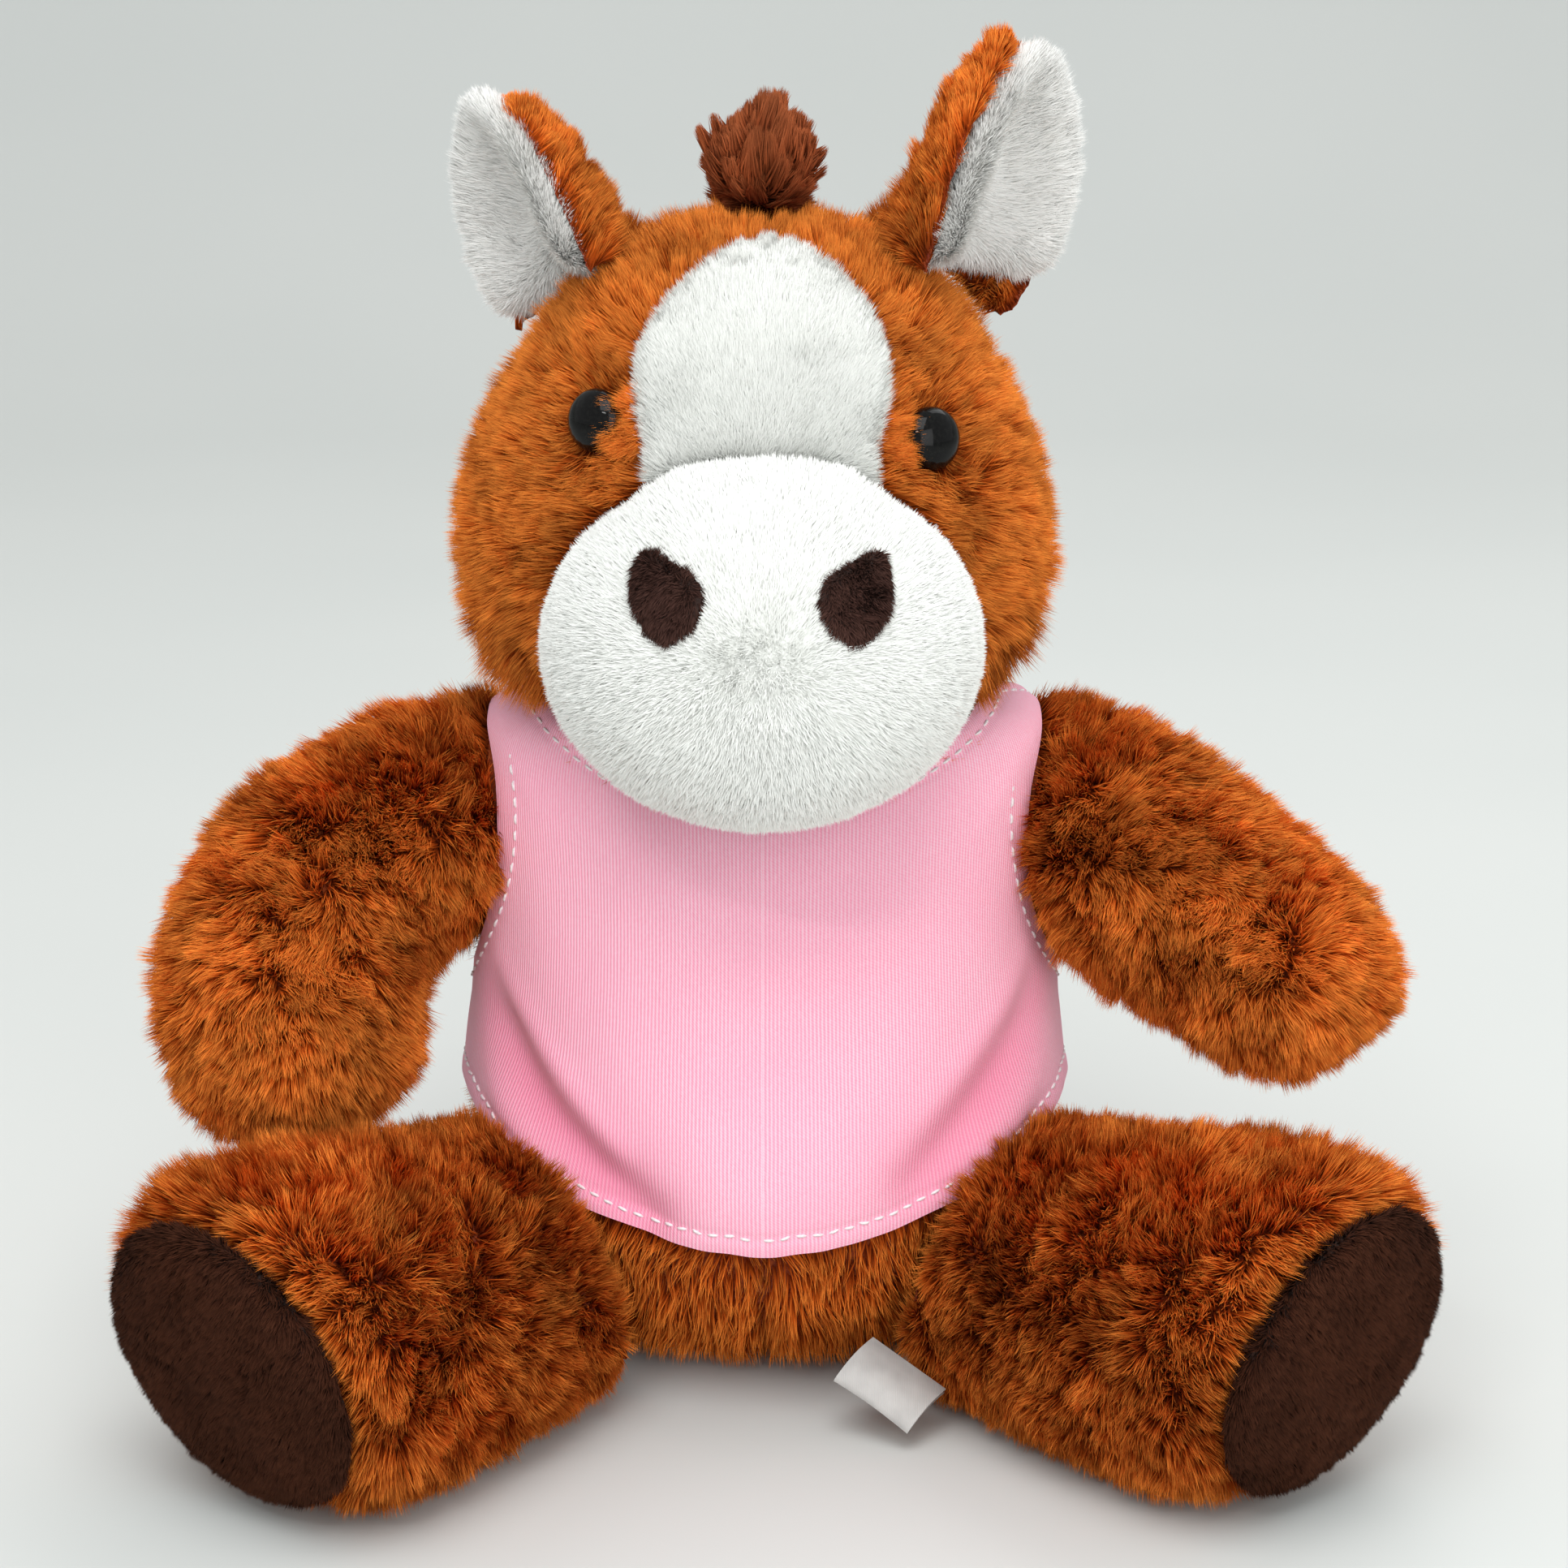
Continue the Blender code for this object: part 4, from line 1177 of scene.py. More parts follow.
@dataclass
class Ear:
    """An ear: brown pile on its back, and a white lining that reaches its edge.

    Attributes:
        side: The ear's side.
        drop: How far the back's tip is lowered, in metres.
        lining_drop: How far the lining's tip is lowered.
    """

    side: Side
    drop: float
    lining_drop: float

    @staticmethod
    def high(at: Array) -> Array:
        """Return how near the tip places are, from 0 to 1."""
        return np.clip((at[:, 2] - EAR_TIP) / 0.025, 0, 1)

    def reach(self, at: Array, middle: float) -> Array:
        """Return the strands' length factor: short at the tip, and shorter on the outer rim.

        Args:
            at: The strands' roots.
            middle: The X of the ear's middle, in metres.

        Returns:
            Each strand's factor.
        """
        outer = np.clip(((at[:, 0] - middle) * self.side.sign - 0.001) / 0.004, 0, 1)
        above = np.clip((at[:, 2] - EAR_TIP) / 0.008, 0, 1)
        return (1 - 0.25 * self.high(at)) * (1 - 0.75 * outer * above)

    @staticmethod
    def lowered(at: Array, drop: float) -> Array:
        """Lower an ear towards its tip, where the pile stands above it.

        Args:
            at: The form's vertices.
            drop: How far the tip is lowered, in metres.

        Returns:
            Their new places.
        """
        at = at.copy()
        at[:, 2] -= drop * np.clip((at[:, 2] - EAR_FOOT) / (at[:, 2].max() - EAR_FOOT), 0, 1)
        return at

    def build(self) -> None:
        """Make the ear's back, its lining and both piles."""
        ear, inner = f"ear_{self.side.word}", f"ear_lining_{self.side.word}"
        stuffed = Stuffed(ear, 0.0013, 6, 0.0014, shape=lambda at: self.lowered(at, self.drop))
        back = padded_form(stuffed, BROWN, ear, "brown_pile")
        stuffed = Stuffed(inner, 0.0011, 14, -0.0009, shape=lambda at: self.lowered(at, self.lining_drop))
        lining = declare(stuffed.build(LINING), ear, "white_pile", inner)
        heart = mesh_arrays(lining.data)[0].mean(0)
        front = unit(heart - mesh_arrays(back.data)[0].mean(0))
        rise = np.array((0.25 * self.side.sign, 0, 1.0))
        pile = Pile(f"{ear}_pile", 60000, 0.0066, 0.00040, stand=0.45, seed=41 + self.side.sign, wild=0.45,
                    bare=((inner, 0.0006),), clear=(inner, "head"), cover=0.0020,
                    reach=lambda at: self.reach(at, float(heart[0])),
                    tone=lambda at: -0.10 + 0.2 * self.high(at))
        declare(pile.grow(back, steady(tuple(rise - front * 0.30)), BROWN), ear, "brown_pile")
        flow = away_from(tuple(heart), (1, 1, 0.5), tuple(rise * 0.7))
        pile = Pile(f"{inner}_pile", 60000, 0.0036, 0.00030, stand=0.40, wild=0.3, tuft=0.0019, gather=0.15,
                    seed=45 + self.side.sign, soft=0.35, clear=("head",), cover=0.0015,
                    keep=lambda at, up: (up @ front > -0.55) * 1.0)
        declare(pile.grow(lining, flow, LINING), ear, "white_pile")


@dataclass
class Mane:
    """The mane: an auburn crest from the crown to the nape.

    Attributes:
        lean: How far the middle tuft stands to the left of the horse's middle, in metres.
        lobe: How far a side lobe stands from the middle.
    """

    lean: float = 0.0006
    lobe: float = 0.0080

    def build(self) -> None:
        """Make the crest and its pile, parted along its middle."""
        form = padded_form(Stuffed("mane", 0.0016, 6, 0.0036), AUBURN, "head", "auburn_pile")

        def parted(at: Array, up: Array) -> Array:
            """Return a flow away from the head's middle, and to each side of the parting."""
            radial = unit((at - np.array((0, 0.004, 0.190))) * np.array((0, 1, 1)))
            return radial * 1.2 + (at / 0.0095 * 0.42) * np.array((1, 0, 0))

        pile = Pile("mane_pile", 60000, 0.0078, 0.00040, stand=0.26, wild=0.60, gather=0.66, tuft=0.0027,
                    steps=2, seed=51, clear=("head",), cover=0.0005, ragged=0.40, reach=self.lobes,
                    tone=lambda at: -0.5 * np.exp(-(at[:, 0] / 0.0016) ** 2))
        declare(pile.grow(form, parted, AUBURN), "head", "auburn_pile")

    def lobes(self, at: Array) -> Array:
        """Return the strands' length factor: a high middle tuft between two lower lobes.

        Args:
            at: The strands' roots.

        Returns:
            Each strand's factor.
        """
        middle = np.exp(-((at[:, 0] - self.lean) / 0.0030) ** 2)
        sides = np.exp(-((np.abs(at[:, 0]) - self.lobe) / 0.0024) ** 2) * (1 - 0.25 * np.sign(at[:, 0]))
        return 0.46 + 0.62 * middle + 0.42 * sides


class Torso:
    """The torso: only its belly, its rump and its shoulders show, so pile grows there alone."""

    def build(self) -> None:
        """Make the torso's form and its pile."""
        form = padded_form(Stuffed("body", 0.0030, 6, 0.0026), BROWN, "torso", "brown_pile")
        neck = padded_form(Stuffed("neck", 0.0024, 3), BROWN, "neck", "brown_pile")
        flow = with_turns(steady((0, 0, -1)), ((0, -0.05, 0.02), 0.02, (0, 0, -1)))
        pile = Pile("body_pile", 80000, 0.0066, 0.00042, stand=0.60, seed=61, tuft=0.0024,
                    clear=("shirt_front", "shirt_back", "leg_left", "leg_right", "tail"),
                    keep=lambda at, up: (at[:, 2] > 0.0015) * 1.0, reach=self.reach,
                    tone=lambda at: 0.16 - 0.4 * self.seam(at))
        declare(pile.grow(form, flow, BROWN), "torso", "brown_pile")
        self.collar(form, "torso", 26000, 0.0036)
        self.collar(neck, "neck", 12000, 0.0032)

    @staticmethod
    def collar(form: Piece, body: str, count: int, length: float) -> None:
        """Grow the short pile inside the neckline, which shows when the head tips back.

        Args:
            form: The form that it stands on.
            body: The frame's body that it rides on.
            count: How many strands are drawn.
            length: A strand's length, short enough to stay under the cloth.
        """
        pile = Pile(f"collar_{body}_pile", count, length, 0.00042, stand=0.35, wild=0.4, tuft=0.0022,
                    seed=65 + len(body), tone=everywhere(-0.05), keep=lambda at, up: (at[:, 2] > 0.114) * 1.0)
        declare(pile.grow(form, away_from((0, 0.005, 0.150), (1, 1, 0)), BROWN), body, "brown_pile")

    @staticmethod
    def seam(at: Array) -> Array:
        """Return how near places are to the seam down the belly."""
        return np.exp(-(at[:, 0] / 0.0014) ** 2) * (at[:, 1] < 0)

    def reach(self, at: Array) -> Array:
        """Return the strands' length factor: short on the seam, long in the tuft beside the label."""
        return 1 - 0.5 * self.seam(at) + 0.9 * near_point(at, (0.020, -0.042, 0.014), 0.009)


@dataclass
class Arm:
    """An arm: form and pile, combed towards the paw.

    Attributes:
        side: The arm's side.
        path: Points along its middle, from the shoulder to the paw.
        whorls: Points that the pile leaves on all sides, each with a radius.
        notch: Where the paw is pressed in, if it is.
    """

    side: Side
    path: Sequence[Point]
    whorls: Sequence[tuple[Point, float]] = ()
    notch: Optional[Point] = None

    def build(self) -> None:
        """Make the arm, with a round shoulder about its own joint."""
        node = f"arm_{self.side.word}"
        joint = (SHOULDER[0] * self.side.sign, *SHOULDER[1:])
        stuffed = Stuffed(node, sink=0.0026, smoothing=14, fill=((joint, SHOULDER_FILL),), shape=self.notched)
        form = padded_form(stuffed, BROWN, node, "brown_pile")
        turns = ((place, radius, None) for place, radius in self.whorls)
        flow = with_turns(along_path(self.path, (0, 0, -0.15)), *turns)
        pile = Pile(f"{node}_pile", 150000, 0.0072, 0.00042, stand=0.62, tuft=0.0024,
                    seed=71 + self.side.sign, clear=("shirt_front", "shirt_back", "body"),
                    tone=self.tone, reach=self.reach)
        declare(pile.grow(form, flow, BROWN), node, "brown_pile")

    def notched(self, at: Array) -> Array:
        """Press the form in where the paw has its notch.

        Args:
            at: The form's vertices.

        Returns:
            Their new places.
        """
        if self.notch is None:
            return at
        inward = np.array((-0.42, 0.0, 0.90))
        return at + inward * 0.0120 * near_point(at, self.notch, 0.0074)[:, None]

    def reach(self, at: Array) -> Array:
        """Return the strands' length factor: long in the whorls, short in the notch."""
        short = 0.0 if self.notch is None else near_point(at, self.notch, 0.0095)
        return 1 + 0.25 * self.whorl(at) - 0.75 * short

    def whorl(self, at: Array) -> Array:
        """Return how near places are to the whorls of the paw."""
        near = sum((near_point(at, place, radius) for place, radius in self.whorls), np.zeros(len(at)))
        return np.clip(near, 0, 1)

    def tone(self, at: Array) -> Array:
        """Return the tint's shift: darker towards the shoulder."""
        return -0.02 + 0.12 * np.clip((np.abs(at[:, 0]) - 0.060) / 0.045, 0, 1) + 0.12 * self.whorl(at)


@dataclass
class Leg:
    """A leg: form and pile, and the dark sole of its hoof.

    Attributes:
        side: The leg's side.
        path: Points along its middle, from the hip to the sole.
    """

    side: Side
    path: Sequence[Point]

    def build(self) -> None:
        """Make the leg and its sole."""
        node, hoof = f"leg_{self.side.word}", f"hoof_{self.side.word}"
        form = padded_form(Stuffed(node, sink=0.0032), BROWN, node, "brown_pile")
        pile = Pile(f"{node}_pile", 150000, 0.0070, 0.00042, stand=0.62, tuft=0.0024,
                    seed=81 + self.side.sign, clear=(hoof, "body", "shirt_front", "shirt_back"),
                    tone=self.tone, reach=self.reach, keep=lambda at, up: (at[:, 2] > 0.0012) * 1.0)
        declare(pile.grow(form, along_path(self.path, (0, 0, 0.1)), BROWN), node, "brown_pile")
        sole = padded_form(Stuffed(hoof, 0.0016, 5, 0.0003), DARK, node, "dark_brown_pile")
        pile = Pile(f"{hoof}_pile", 60000, 0.0024, 0.00026, stand=0.40, wild=0.4, tuft=0.0018, gather=0.35,
                    seed=91 + self.side.sign, soft=0.8, clear=(node,),
                    keep=lambda at, up: (up[:, 1] < 0.3) * 1.0)
        declare(pile.grow(sole, steady((0.5 * self.side.sign, 0, -1)), DARK), node, "dark_brown_pile")

    def out(self, at: Array) -> Array:
        """Return how far out along the leg places are, from 0 at the hip to 1 at the sole.

        Args:
            at: The places.

        Returns:
            The share of the way for each place.
        """
        start, end = np.array(self.path[0]), np.array(self.path[-1])
        way = end - start
        return np.clip(((at - start) @ way) / (way @ way), 0, 1)

    def tone(self, at: Array) -> Array:
        """Return the tint's shift: dark on the thigh, light at the toe, and lighter on top as painted light
        from above.
        """
        # The last term is painted light: the leg's top is lighter, as if lit from above
        return -0.12 + 0.12 * self.out(at) ** 2.5 + 0.10 * np.clip((at[:, 2] - 0.045) / 0.015, 0, 1)

    def reach(self, at: Array) -> Array:
        """Return the strands' length factor: short on the thigh, long over the toe."""
        return 0.82 + 0.40 * self.out(at) ** 3


def tail() -> None:
    """Make the tail, a short auburn tuft at the back of the seat, and its pile."""
    form = padded_form(Stuffed("tail", 0.0014, 5, 0.0020), AUBURN, "tail", "auburn_pile")
    pile = Pile("tail_pile", 18000, 0.0085, 0.00048, stand=0.3, wild=0.4, steps=2, seed=55, clear=("body",),
                keep=lambda at, up: (at[:, 1] > 0.053) * 1.0)
    declare(pile.grow(form, steady((0, 0.5, -1)), AUBURN), "tail", "auburn_pile")


@dataclass
class TankTop:
    """The tank top: a tube of jersey cut to its neckline and hem, with two armholes and white stitching.

    Attributes:
        thickness: The cloth's thickness, in metres.
        lie: How far its outer face lies off the torso.
        columns: How many columns go round.
        rows: How many rows go up.
        stitch_pitch: The distance from one stitch to the next.
        stitch_length: A stitch's length.
        stitch_inset: How far the stitches run inside an edge.
    """

    thickness: float = 0.0009
    lie: float = 0.0019
    columns: int = 300
    rows: int = 92
    stitch_pitch: float = 0.00323
    stitch_length: float = 0.0022
    stitch_inset: float = 0.0036

    def profile(self) -> Array:
        """Return the torso's rounded stations: height, half width, half depth and middle, finely stepped.

        Returns:
            A row for each fine station.
        """
        stations = np.array(TORSO)
        fine = []
        for index in range(len(stations) - 1):
            picks = [stations[min(max(index + k, 0), len(stations) - 1)] for k in (-1, 0, 1, 2)]
            for t in np.arange(0, 1, 0.04):
                weights = ((1 - t) ** 3, 3 * t ** 3 - 6 * t ** 2 + 4,
                           -3 * t ** 3 + 3 * t ** 2 + 3 * t + 1, t ** 3)
                fine.append(sum(w * p for w, p in zip(weights, picks)) / 6)
        return np.array(fine)

    def column(self, angle: float) -> Array:
        """Trace the cloth up the torso at one angle.

        Args:
            angle: The angle round the torso, 0 at the front, positive to +X.

        Returns:
            Places from the hem to the neckline, finely stepped.
        """
        fine = self.profile()
        out = np.array((math.sin(angle), -math.cos(angle)))
        lower = np.clip((FOLD_TOP - fine[:, 0]) / FOLD_TOP * 2, 0, 1)
        swell = (0.0008 * (1 + math.cos(6 * angle)) + 0.0034 * abs(out[0]) ** 3) * lower
        x = (fine[:, 1] + self.lie + swell) * out[0]
        y = fine[:, 3] + (fine[:, 2] + self.lie + swell) * out[1]
        z = fine[:, 0] + self.lie * np.clip((fine[:, 0] - 0.120) / 0.015, 0, 1)
        blend = np.clip(0.5 - out[1] * 2.5, 0, 1)
        halves = (("front", blend), ("back", 1 - blend))
        hem = sum(share * self.arc(np.abs(x), *HEM[half]) for half, share in halves)
        scoop = sum(share * self.scoop(x, z, *NECKLINE[half]) for half, share in halves)
        start = int(np.argmax(z > hem))
        stop = len(z) - 1
        for index in range(start + 5, len(z)):
            if scoop[index] < 0:
                stop = index
                break
        return np.stack([x, y, z], 1)[start:stop + 1]

    @staticmethod
    def arc(x: Array, low: float, half_chord: float, high: float) -> Array:
        """Return the height at x of the arc that dips to low between two points at high.

        Args:
            x: Distances from the arc's middle.
            low: Its height in the middle.
            half_chord: Half its width.
            high: The height of its ends.

        Returns:
            The heights.
        """
        rise = high - low
        radius = (half_chord ** 2 + rise ** 2) / (2 * rise)
        return low + radius - np.sqrt(np.maximum(radius ** 2 - x ** 2, 0))

    @staticmethod
    def scoop(x: Array, z: Array, low: float, half_chord: float, high: float) -> Array:
        """Return how far places are outside the neckline's circle, negative inside it.

        Args:
            x: The places' distances from the middle.
            z: Their heights.
            low: The circle's lowest height.
            half_chord: Half its width at the ends.
            high: The height of the ends.

        Returns:
            The distances.
        """
        rise = high - low
        radius = (half_chord ** 2 + rise ** 2) / (2 * rise)
        return np.hypot(x, z - low - radius) - radius

    def build(self) -> None:
        """Make the cloth and its stitching."""
        grid = np.zeros((self.columns, self.rows, 3))
        for index in range(self.columns):
            places = self.column(math.tau * index / self.columns)
            steps = run_along(places)
            spots = np.linspace(0, steps[-1], self.rows)
            for axis in range(3):
                grid[index, :, axis] = np.interp(spots, steps, places[:, axis])
        grid = self.relaxed(grid)
        grid = grid + self.grid_normals(grid) * self.relief(grid)[:, :, None]
        cloth = self.cloth_mesh(grid)
        self.paint_fold_shade(cloth)
        declare(cloth, "torso", "pink_jersey", "shirt_front", "shirt_back")
        stitches = self.stitching(cloth)
        declare(stitches, "torso", "white_satin")

    @staticmethod
    def relaxed(grid: Array) -> Array:
        """Ease the hem and the neckline where the front and the back meet.

        Args:
            grid: The cloth's vertices, column by column.

        Returns:
            The eased vertices.
        """
        for _ in range(4):
            grid = (np.roll(grid, 1, 0) + grid * 2 + np.roll(grid, -1, 0)) / 4
        return grid

    @staticmethod
    def grid_normals(grid: Array) -> Array:
        """Return the outward normals of the grid's vertices.

        Args:
            grid: The cloth's vertices, column by column.

        Returns:
            A normal for each vertex.
        """
        round_way = np.roll(grid, -1, 0) - np.roll(grid, 1, 0)
        up_way = np.gradient(grid, axis=1)
        return unit(np.cross(round_way, up_way))

    def relief(self, grid: Array) -> Array:
        """Return how far the cloth rises off its even lie: folds at its lower corners, and turned edges.

        Args:
            grid: The cloth's vertices, column by column.

        Returns:
            The rise of each vertex, in metres.
        """
        flat = grid.reshape(-1, 3)
        rise = np.zeros(len(flat))
        for start, end, width, height in FOLDS:
            rise += near_line(flat, start, end, width) * height
        wrinkle = np.array([noise.noise(Vector((p[0] * 60, p[1] * 60, p[2] * 38))) for p in flat])
        sides = np.clip(np.abs(flat[:, 0]) / 0.055, 0, 1) ** 4
        rise += wrinkle * (0.0004 + 0.0007 * sides)
        rise = rise.reshape(grid.shape[:2])
        steps = np.linalg.norm(np.diff(grid, axis=1), axis=2)
        from_hem = np.concatenate([np.zeros((len(grid), 1)), np.cumsum(steps, axis=1)], 1)
        from_neck = from_hem[:, -1:] - from_hem
        for distance in (from_hem, from_neck):
            rise += 0.00035 * np.exp(-(distance / 0.0030) ** 4)
            rise -= 0.00030 * np.exp(-((distance - self.stitch_inset) / 0.0007) ** 2)
        return rise

    def cloth_mesh(self, grid: Array) -> Piece:
        """Turn the grid into cloth with thickness and armholes.

        Args:
            grid: Its vertices, column by column.

        Returns:
            The piece.
        """
        count, rows = grid.shape[:2]
        index = np.arange(count * rows).reshape(count, rows)
        after = np.roll(index, -1, 0)
        quads = np.stack([index[:, :-1], after[:, :-1], after[:, 1:], index[:, 1:]], 2).reshape(-1, 4)
        mesh = bpy.data.meshes.new("tank_top")
        mesh.from_pydata(grid.reshape(-1, 3).tolist(), [], quads.tolist())
        layer = mesh.uv_layers.new(name=CLOTH_UV)
        wide = np.linalg.norm(np.roll(grid, -1, 0) - grid, axis=2).mean(1).sum()
        high = np.linalg.norm(np.diff(grid, axis=1), axis=2).sum(1).mean()
        column = np.repeat(np.arange(count), (rows - 1))
        row = np.tile(np.arange(rows - 1), count)
        u = np.stack([column, column + 1, column + 1, column], 1) / count * wide
        v = np.stack([row, row, row + 1, row + 1], 1) / (rows - 1) * high
        layer.data.foreach_set("uv", (np.stack([u, v], 2) * MAP_SCALE).astype(np.float32).ravel())
        cloth = new_piece("tank_top", mesh, jersey())
        wall = cloth.modifiers.new("wall", "SOLIDIFY")
        wall.thickness = self.thickness
        wall.offset = -1
        apply_modifiers(cloth)
        cutter = self.armholes()
        cut = cloth.modifiers.new("armholes", "BOOLEAN")
        cut.operation = "DIFFERENCE"
        cut.solver = "EXACT"
        cut.object = cutter
        apply_modifiers(cloth)
        bpy.data.objects.remove(cutter, do_unlink=True)
        only_select(cloth)
        bpy.ops.object.shade_smooth_by_angle(angle=math.radians(50))
        return cloth

    @staticmethod
    def paint_fold_shade(cloth: Piece) -> None:
        """Store each vertex's painted shade, which the jersey's colour reads: deepest in the grooves of the
        folds, and at the cloth's lower sides.

        Args:
            cloth: The tank top.
        """
        at = mesh_arrays(cloth.data)[0]
        depth = np.zeros(len(at))
        # Painted shade in the grooves of the folds
        for start, end, width, height in FOLDS:
            if height < 0:
                depth += near_line(at, start, end, width * 1.5) * 0.60
        # Painted shade at the lower sides, where the cloth turns away
        outer = 0.30 * np.clip((np.abs(at[:, 0]) - 0.040) / 0.018, 0, 1)
        depth += outer * np.clip((FOLD_TOP - at[:, 2]) / 0.03, 0, 1)
        layer = cloth.data.attributes.new(FOLD_SHADE, "FLOAT", "POINT")
        layer.data.foreach_set("value", np.clip(depth, 0, 1).astype(np.float32))

    def armholes(self) -> Piece:
        """Return the two oval cylinders that open the armholes, as one cutter.

        Returns:
            The cutter.
        """
        bpy.ops.object.select_all(action="DESELECT")
        bpy.ops.mesh.primitive_cylinder_add(vertices=96, radius=1, depth=0.20, rotation=(0, math.pi / 2, 0))
        cutter = bpy.context.object
        bpy.ops.object.transform_apply(rotation=True)
        for vertex in cutter.data.vertices:
            vertex.co.y = ARMHOLE_MIDDLE[0] + vertex.co.y * ARMHOLE_SIZE[0]
            vertex.co.z = ARMHOLE_MIDDLE[1] + vertex.co.z * ARMHOLE_SIZE[1]
        return cutter

    def stitching(self, cloth: Piece) -> Piece:
        """Sew the white stitches along the hem, the neckline and the armholes.

        Args:
            cloth: The cloth.

        Returns:
            The stitches, as one piece.
        """
        places, _, corners = mesh_arrays(cloth.data)
        triangles = [tuple(int(i) for i in corner) for corner in corners]
        tree = BVHTree.FromPolygons([Vector(place) for place in places], triangles)
        lines = [self.edge_line(True), self.edge_line(False), *(self.armhole_line(side) for side in Side)]
        points: list[Vector] = []
        faces: list[tuple[int, ...]] = []
        for line in lines:
            steps = run_along(line)
            for start in np.arange(0, steps[-1] - self.stitch_length, self.stitch_pitch):
                ends = [Vector([float(np.interp(start + go, steps, line[:, k])) for k in range(3)])
                        for go in (0, self.stitch_length)]
                self.stitch(tree, ends, points, faces)
        mesh = bpy.data.meshes.new("tank_top_stitches")
        mesh.from_pydata(points, [], faces)
        mesh.shade_smooth()
        return new_piece("tank_top_stitches", mesh, thread())

    def stitch(self, tree: BVHTree, ends: Sequence[Vector], points: list[Vector],
               faces: list[tuple[int, ...]]) -> None:
        """Add one stitch: a short thread that dives into the cloth at both ends.

        Args:
            tree: The cloth's search tree.
            ends: Its ends, near the cloth.
            points: The vertices so far.
            faces: The faces so far.
        """
        low, normal, _, far = tree.find_nearest(ends[0])
        high, _, _, farther = tree.find_nearest(ends[1])
        if max(far, farther) > 0.0025:
            return
        along = (high - low).normalized()
        if normal.dot(Vector((low.x, low.y - 0.004, 0))) < 0:
            normal = -normal
        across = along.cross(normal).normalized()
        base = len(points)
        for t, radius, lift in STITCH:
            middle = low.lerp(high, t) + normal * lift
            for step in range(6):
                angle = math.tau * step / 6
                points.append(middle + across * radius * math.cos(angle) + normal * radius * math.sin(angle))
        for ring in range(3):
            for step in range(6):
                near, following = base + ring * 6 + step, base + ring * 6 + (step + 1) % 6
                faces.append((near, near + 6, following + 6, following))
        faces.append(tuple(base + step for step in range(6)))
        faces.append(tuple(base + 18 + step for step in reversed(range(6))))

    def edge_line(self, from_hem: bool) -> Array:
        """Trace the line that runs at the stitches' inset inside the hem or the neckline.

        Args:
            from_hem: True for the hem, False for the neckline.

        Returns:
            The line's points.
        """
        line = []
        for index in range(self.columns + 1):
            places = self.column(math.tau * index / self.columns)
            if not from_hem:
                places = places[::-1]
            steps = run_along(places)
            line.append([float(np.interp(self.stitch_inset, steps, places[:, k])) for k in range(3)])
        return np.array(line)

    def armhole_line(self, side: Side) -> Array:
        """Return the stitch line round an armhole.

        Args:
            side: The armhole's side.

        Returns:
            The line's points.
        """
        fine = self.profile()
        line = []
        for step in range(161):
            angle = math.tau * step / 160
            y = ARMHOLE_MIDDLE[0] + (ARMHOLE_SIZE[0] + self.stitch_inset) * math.cos(angle)
            z = ARMHOLE_MIDDLE[1] + (ARMHOLE_SIZE[1] + self.stitch_inset) * math.sin(angle)
            half_width, half_depth, middle = (np.interp(z, fine[:, 0], fine[:, k]) for k in (1, 2, 3))
            span = max(1 - ((y - middle) / (half_depth + self.lie)) ** 2, 0.0)
            line.append((side.sign * (half_width + self.lie) * math.sqrt(span), y, z))
        return np.array(line)


@dataclass
class Label:
    """The label: a bare ribbon folded in two and sewn into the crotch seam.

    Attributes:
        corner: A corner of its fold's line.
        width_axis: The direction of its width.
        length_axis: The direction from the fold to the seam.
        width: The ribbon's width, in metres.
        length: The folded ribbon's length.
        cut: The whole ribbon's length, with what the seam holds. Not used.
        fold: How far each layer lies from the label's middle at the seam.
        arch: How far the label bows.
        thickness: The ribbon's thickness.
    """

    corner: Vector = field(default_factory=lambda: Vector((0.0136, -0.0485, 0.0122)))
    width_axis: Vector = field(default_factory=lambda: Vector((0.80, -0.40, -0.45)).normalized())
    length_axis: Vector = field(default_factory=lambda: Vector((0.38, 0.84, 0.40)).normalized())
    width: float = 0.0175
    length: float = 0.0135
    cut: float = 0.029
    fold: float = 0.0006
    arch: float = 0.0022
    thickness: float = 0.00022

    def build(self) -> None:
        """Make the label."""
        face_axis = self.width_axis.cross(self.length_axis).normalized()
        length_axis = face_axis.cross(self.width_axis).normalized()
        line = [(x, self.fold * (0.5 + 0.5 * x / self.length)) for x in np.linspace(self.length, 0.0012, 9)]
        line += [(0.0006 * (1 - math.cos(a)) * 0.9, self.fold * 0.55 * math.sin(a))
                 for a in np.linspace(math.pi / 2, -math.pi / 2, 9)]
        line += [(x, -self.fold * (0.5 + 0.5 * x / self.length)) for x in np.linspace(0.0012, self.length, 9)]
        across = np.linspace(0, self.width, 13)
        points, faces = [], []
        for along in across:
            for x, y in line:
                curl = 0.0006 * math.sin(math.pi * along / self.width) * (1 - x / self.length)
                curl += self.arch * math.sin(math.pi * min(x / self.length, 1.0) ** 0.8)
                place = self.corner + self.width_axis * along + length_axis * x
                points.append(place + face_axis * (y + curl))
        rows = len(line)
        for column in range(len(across) - 1):
            for row in range(rows - 1):
                low = column * rows + row
                faces.append((low, low + 1, low + rows + 1, low + rows))
        mesh = bpy.data.meshes.new("label_ribbon")
        mesh.from_pydata(points, [], faces)
        label = new_piece("label_ribbon", mesh, satin())
        wall = label.modifiers.new("wall", "SOLIDIFY")
        wall.thickness = self.thickness
        wall.offset = 0
        apply_modifiers(label)
        bpy.ops.object.shade_smooth_by_angle(angle=math.radians(40))
        declare(label, "torso", "white_satin", "label")


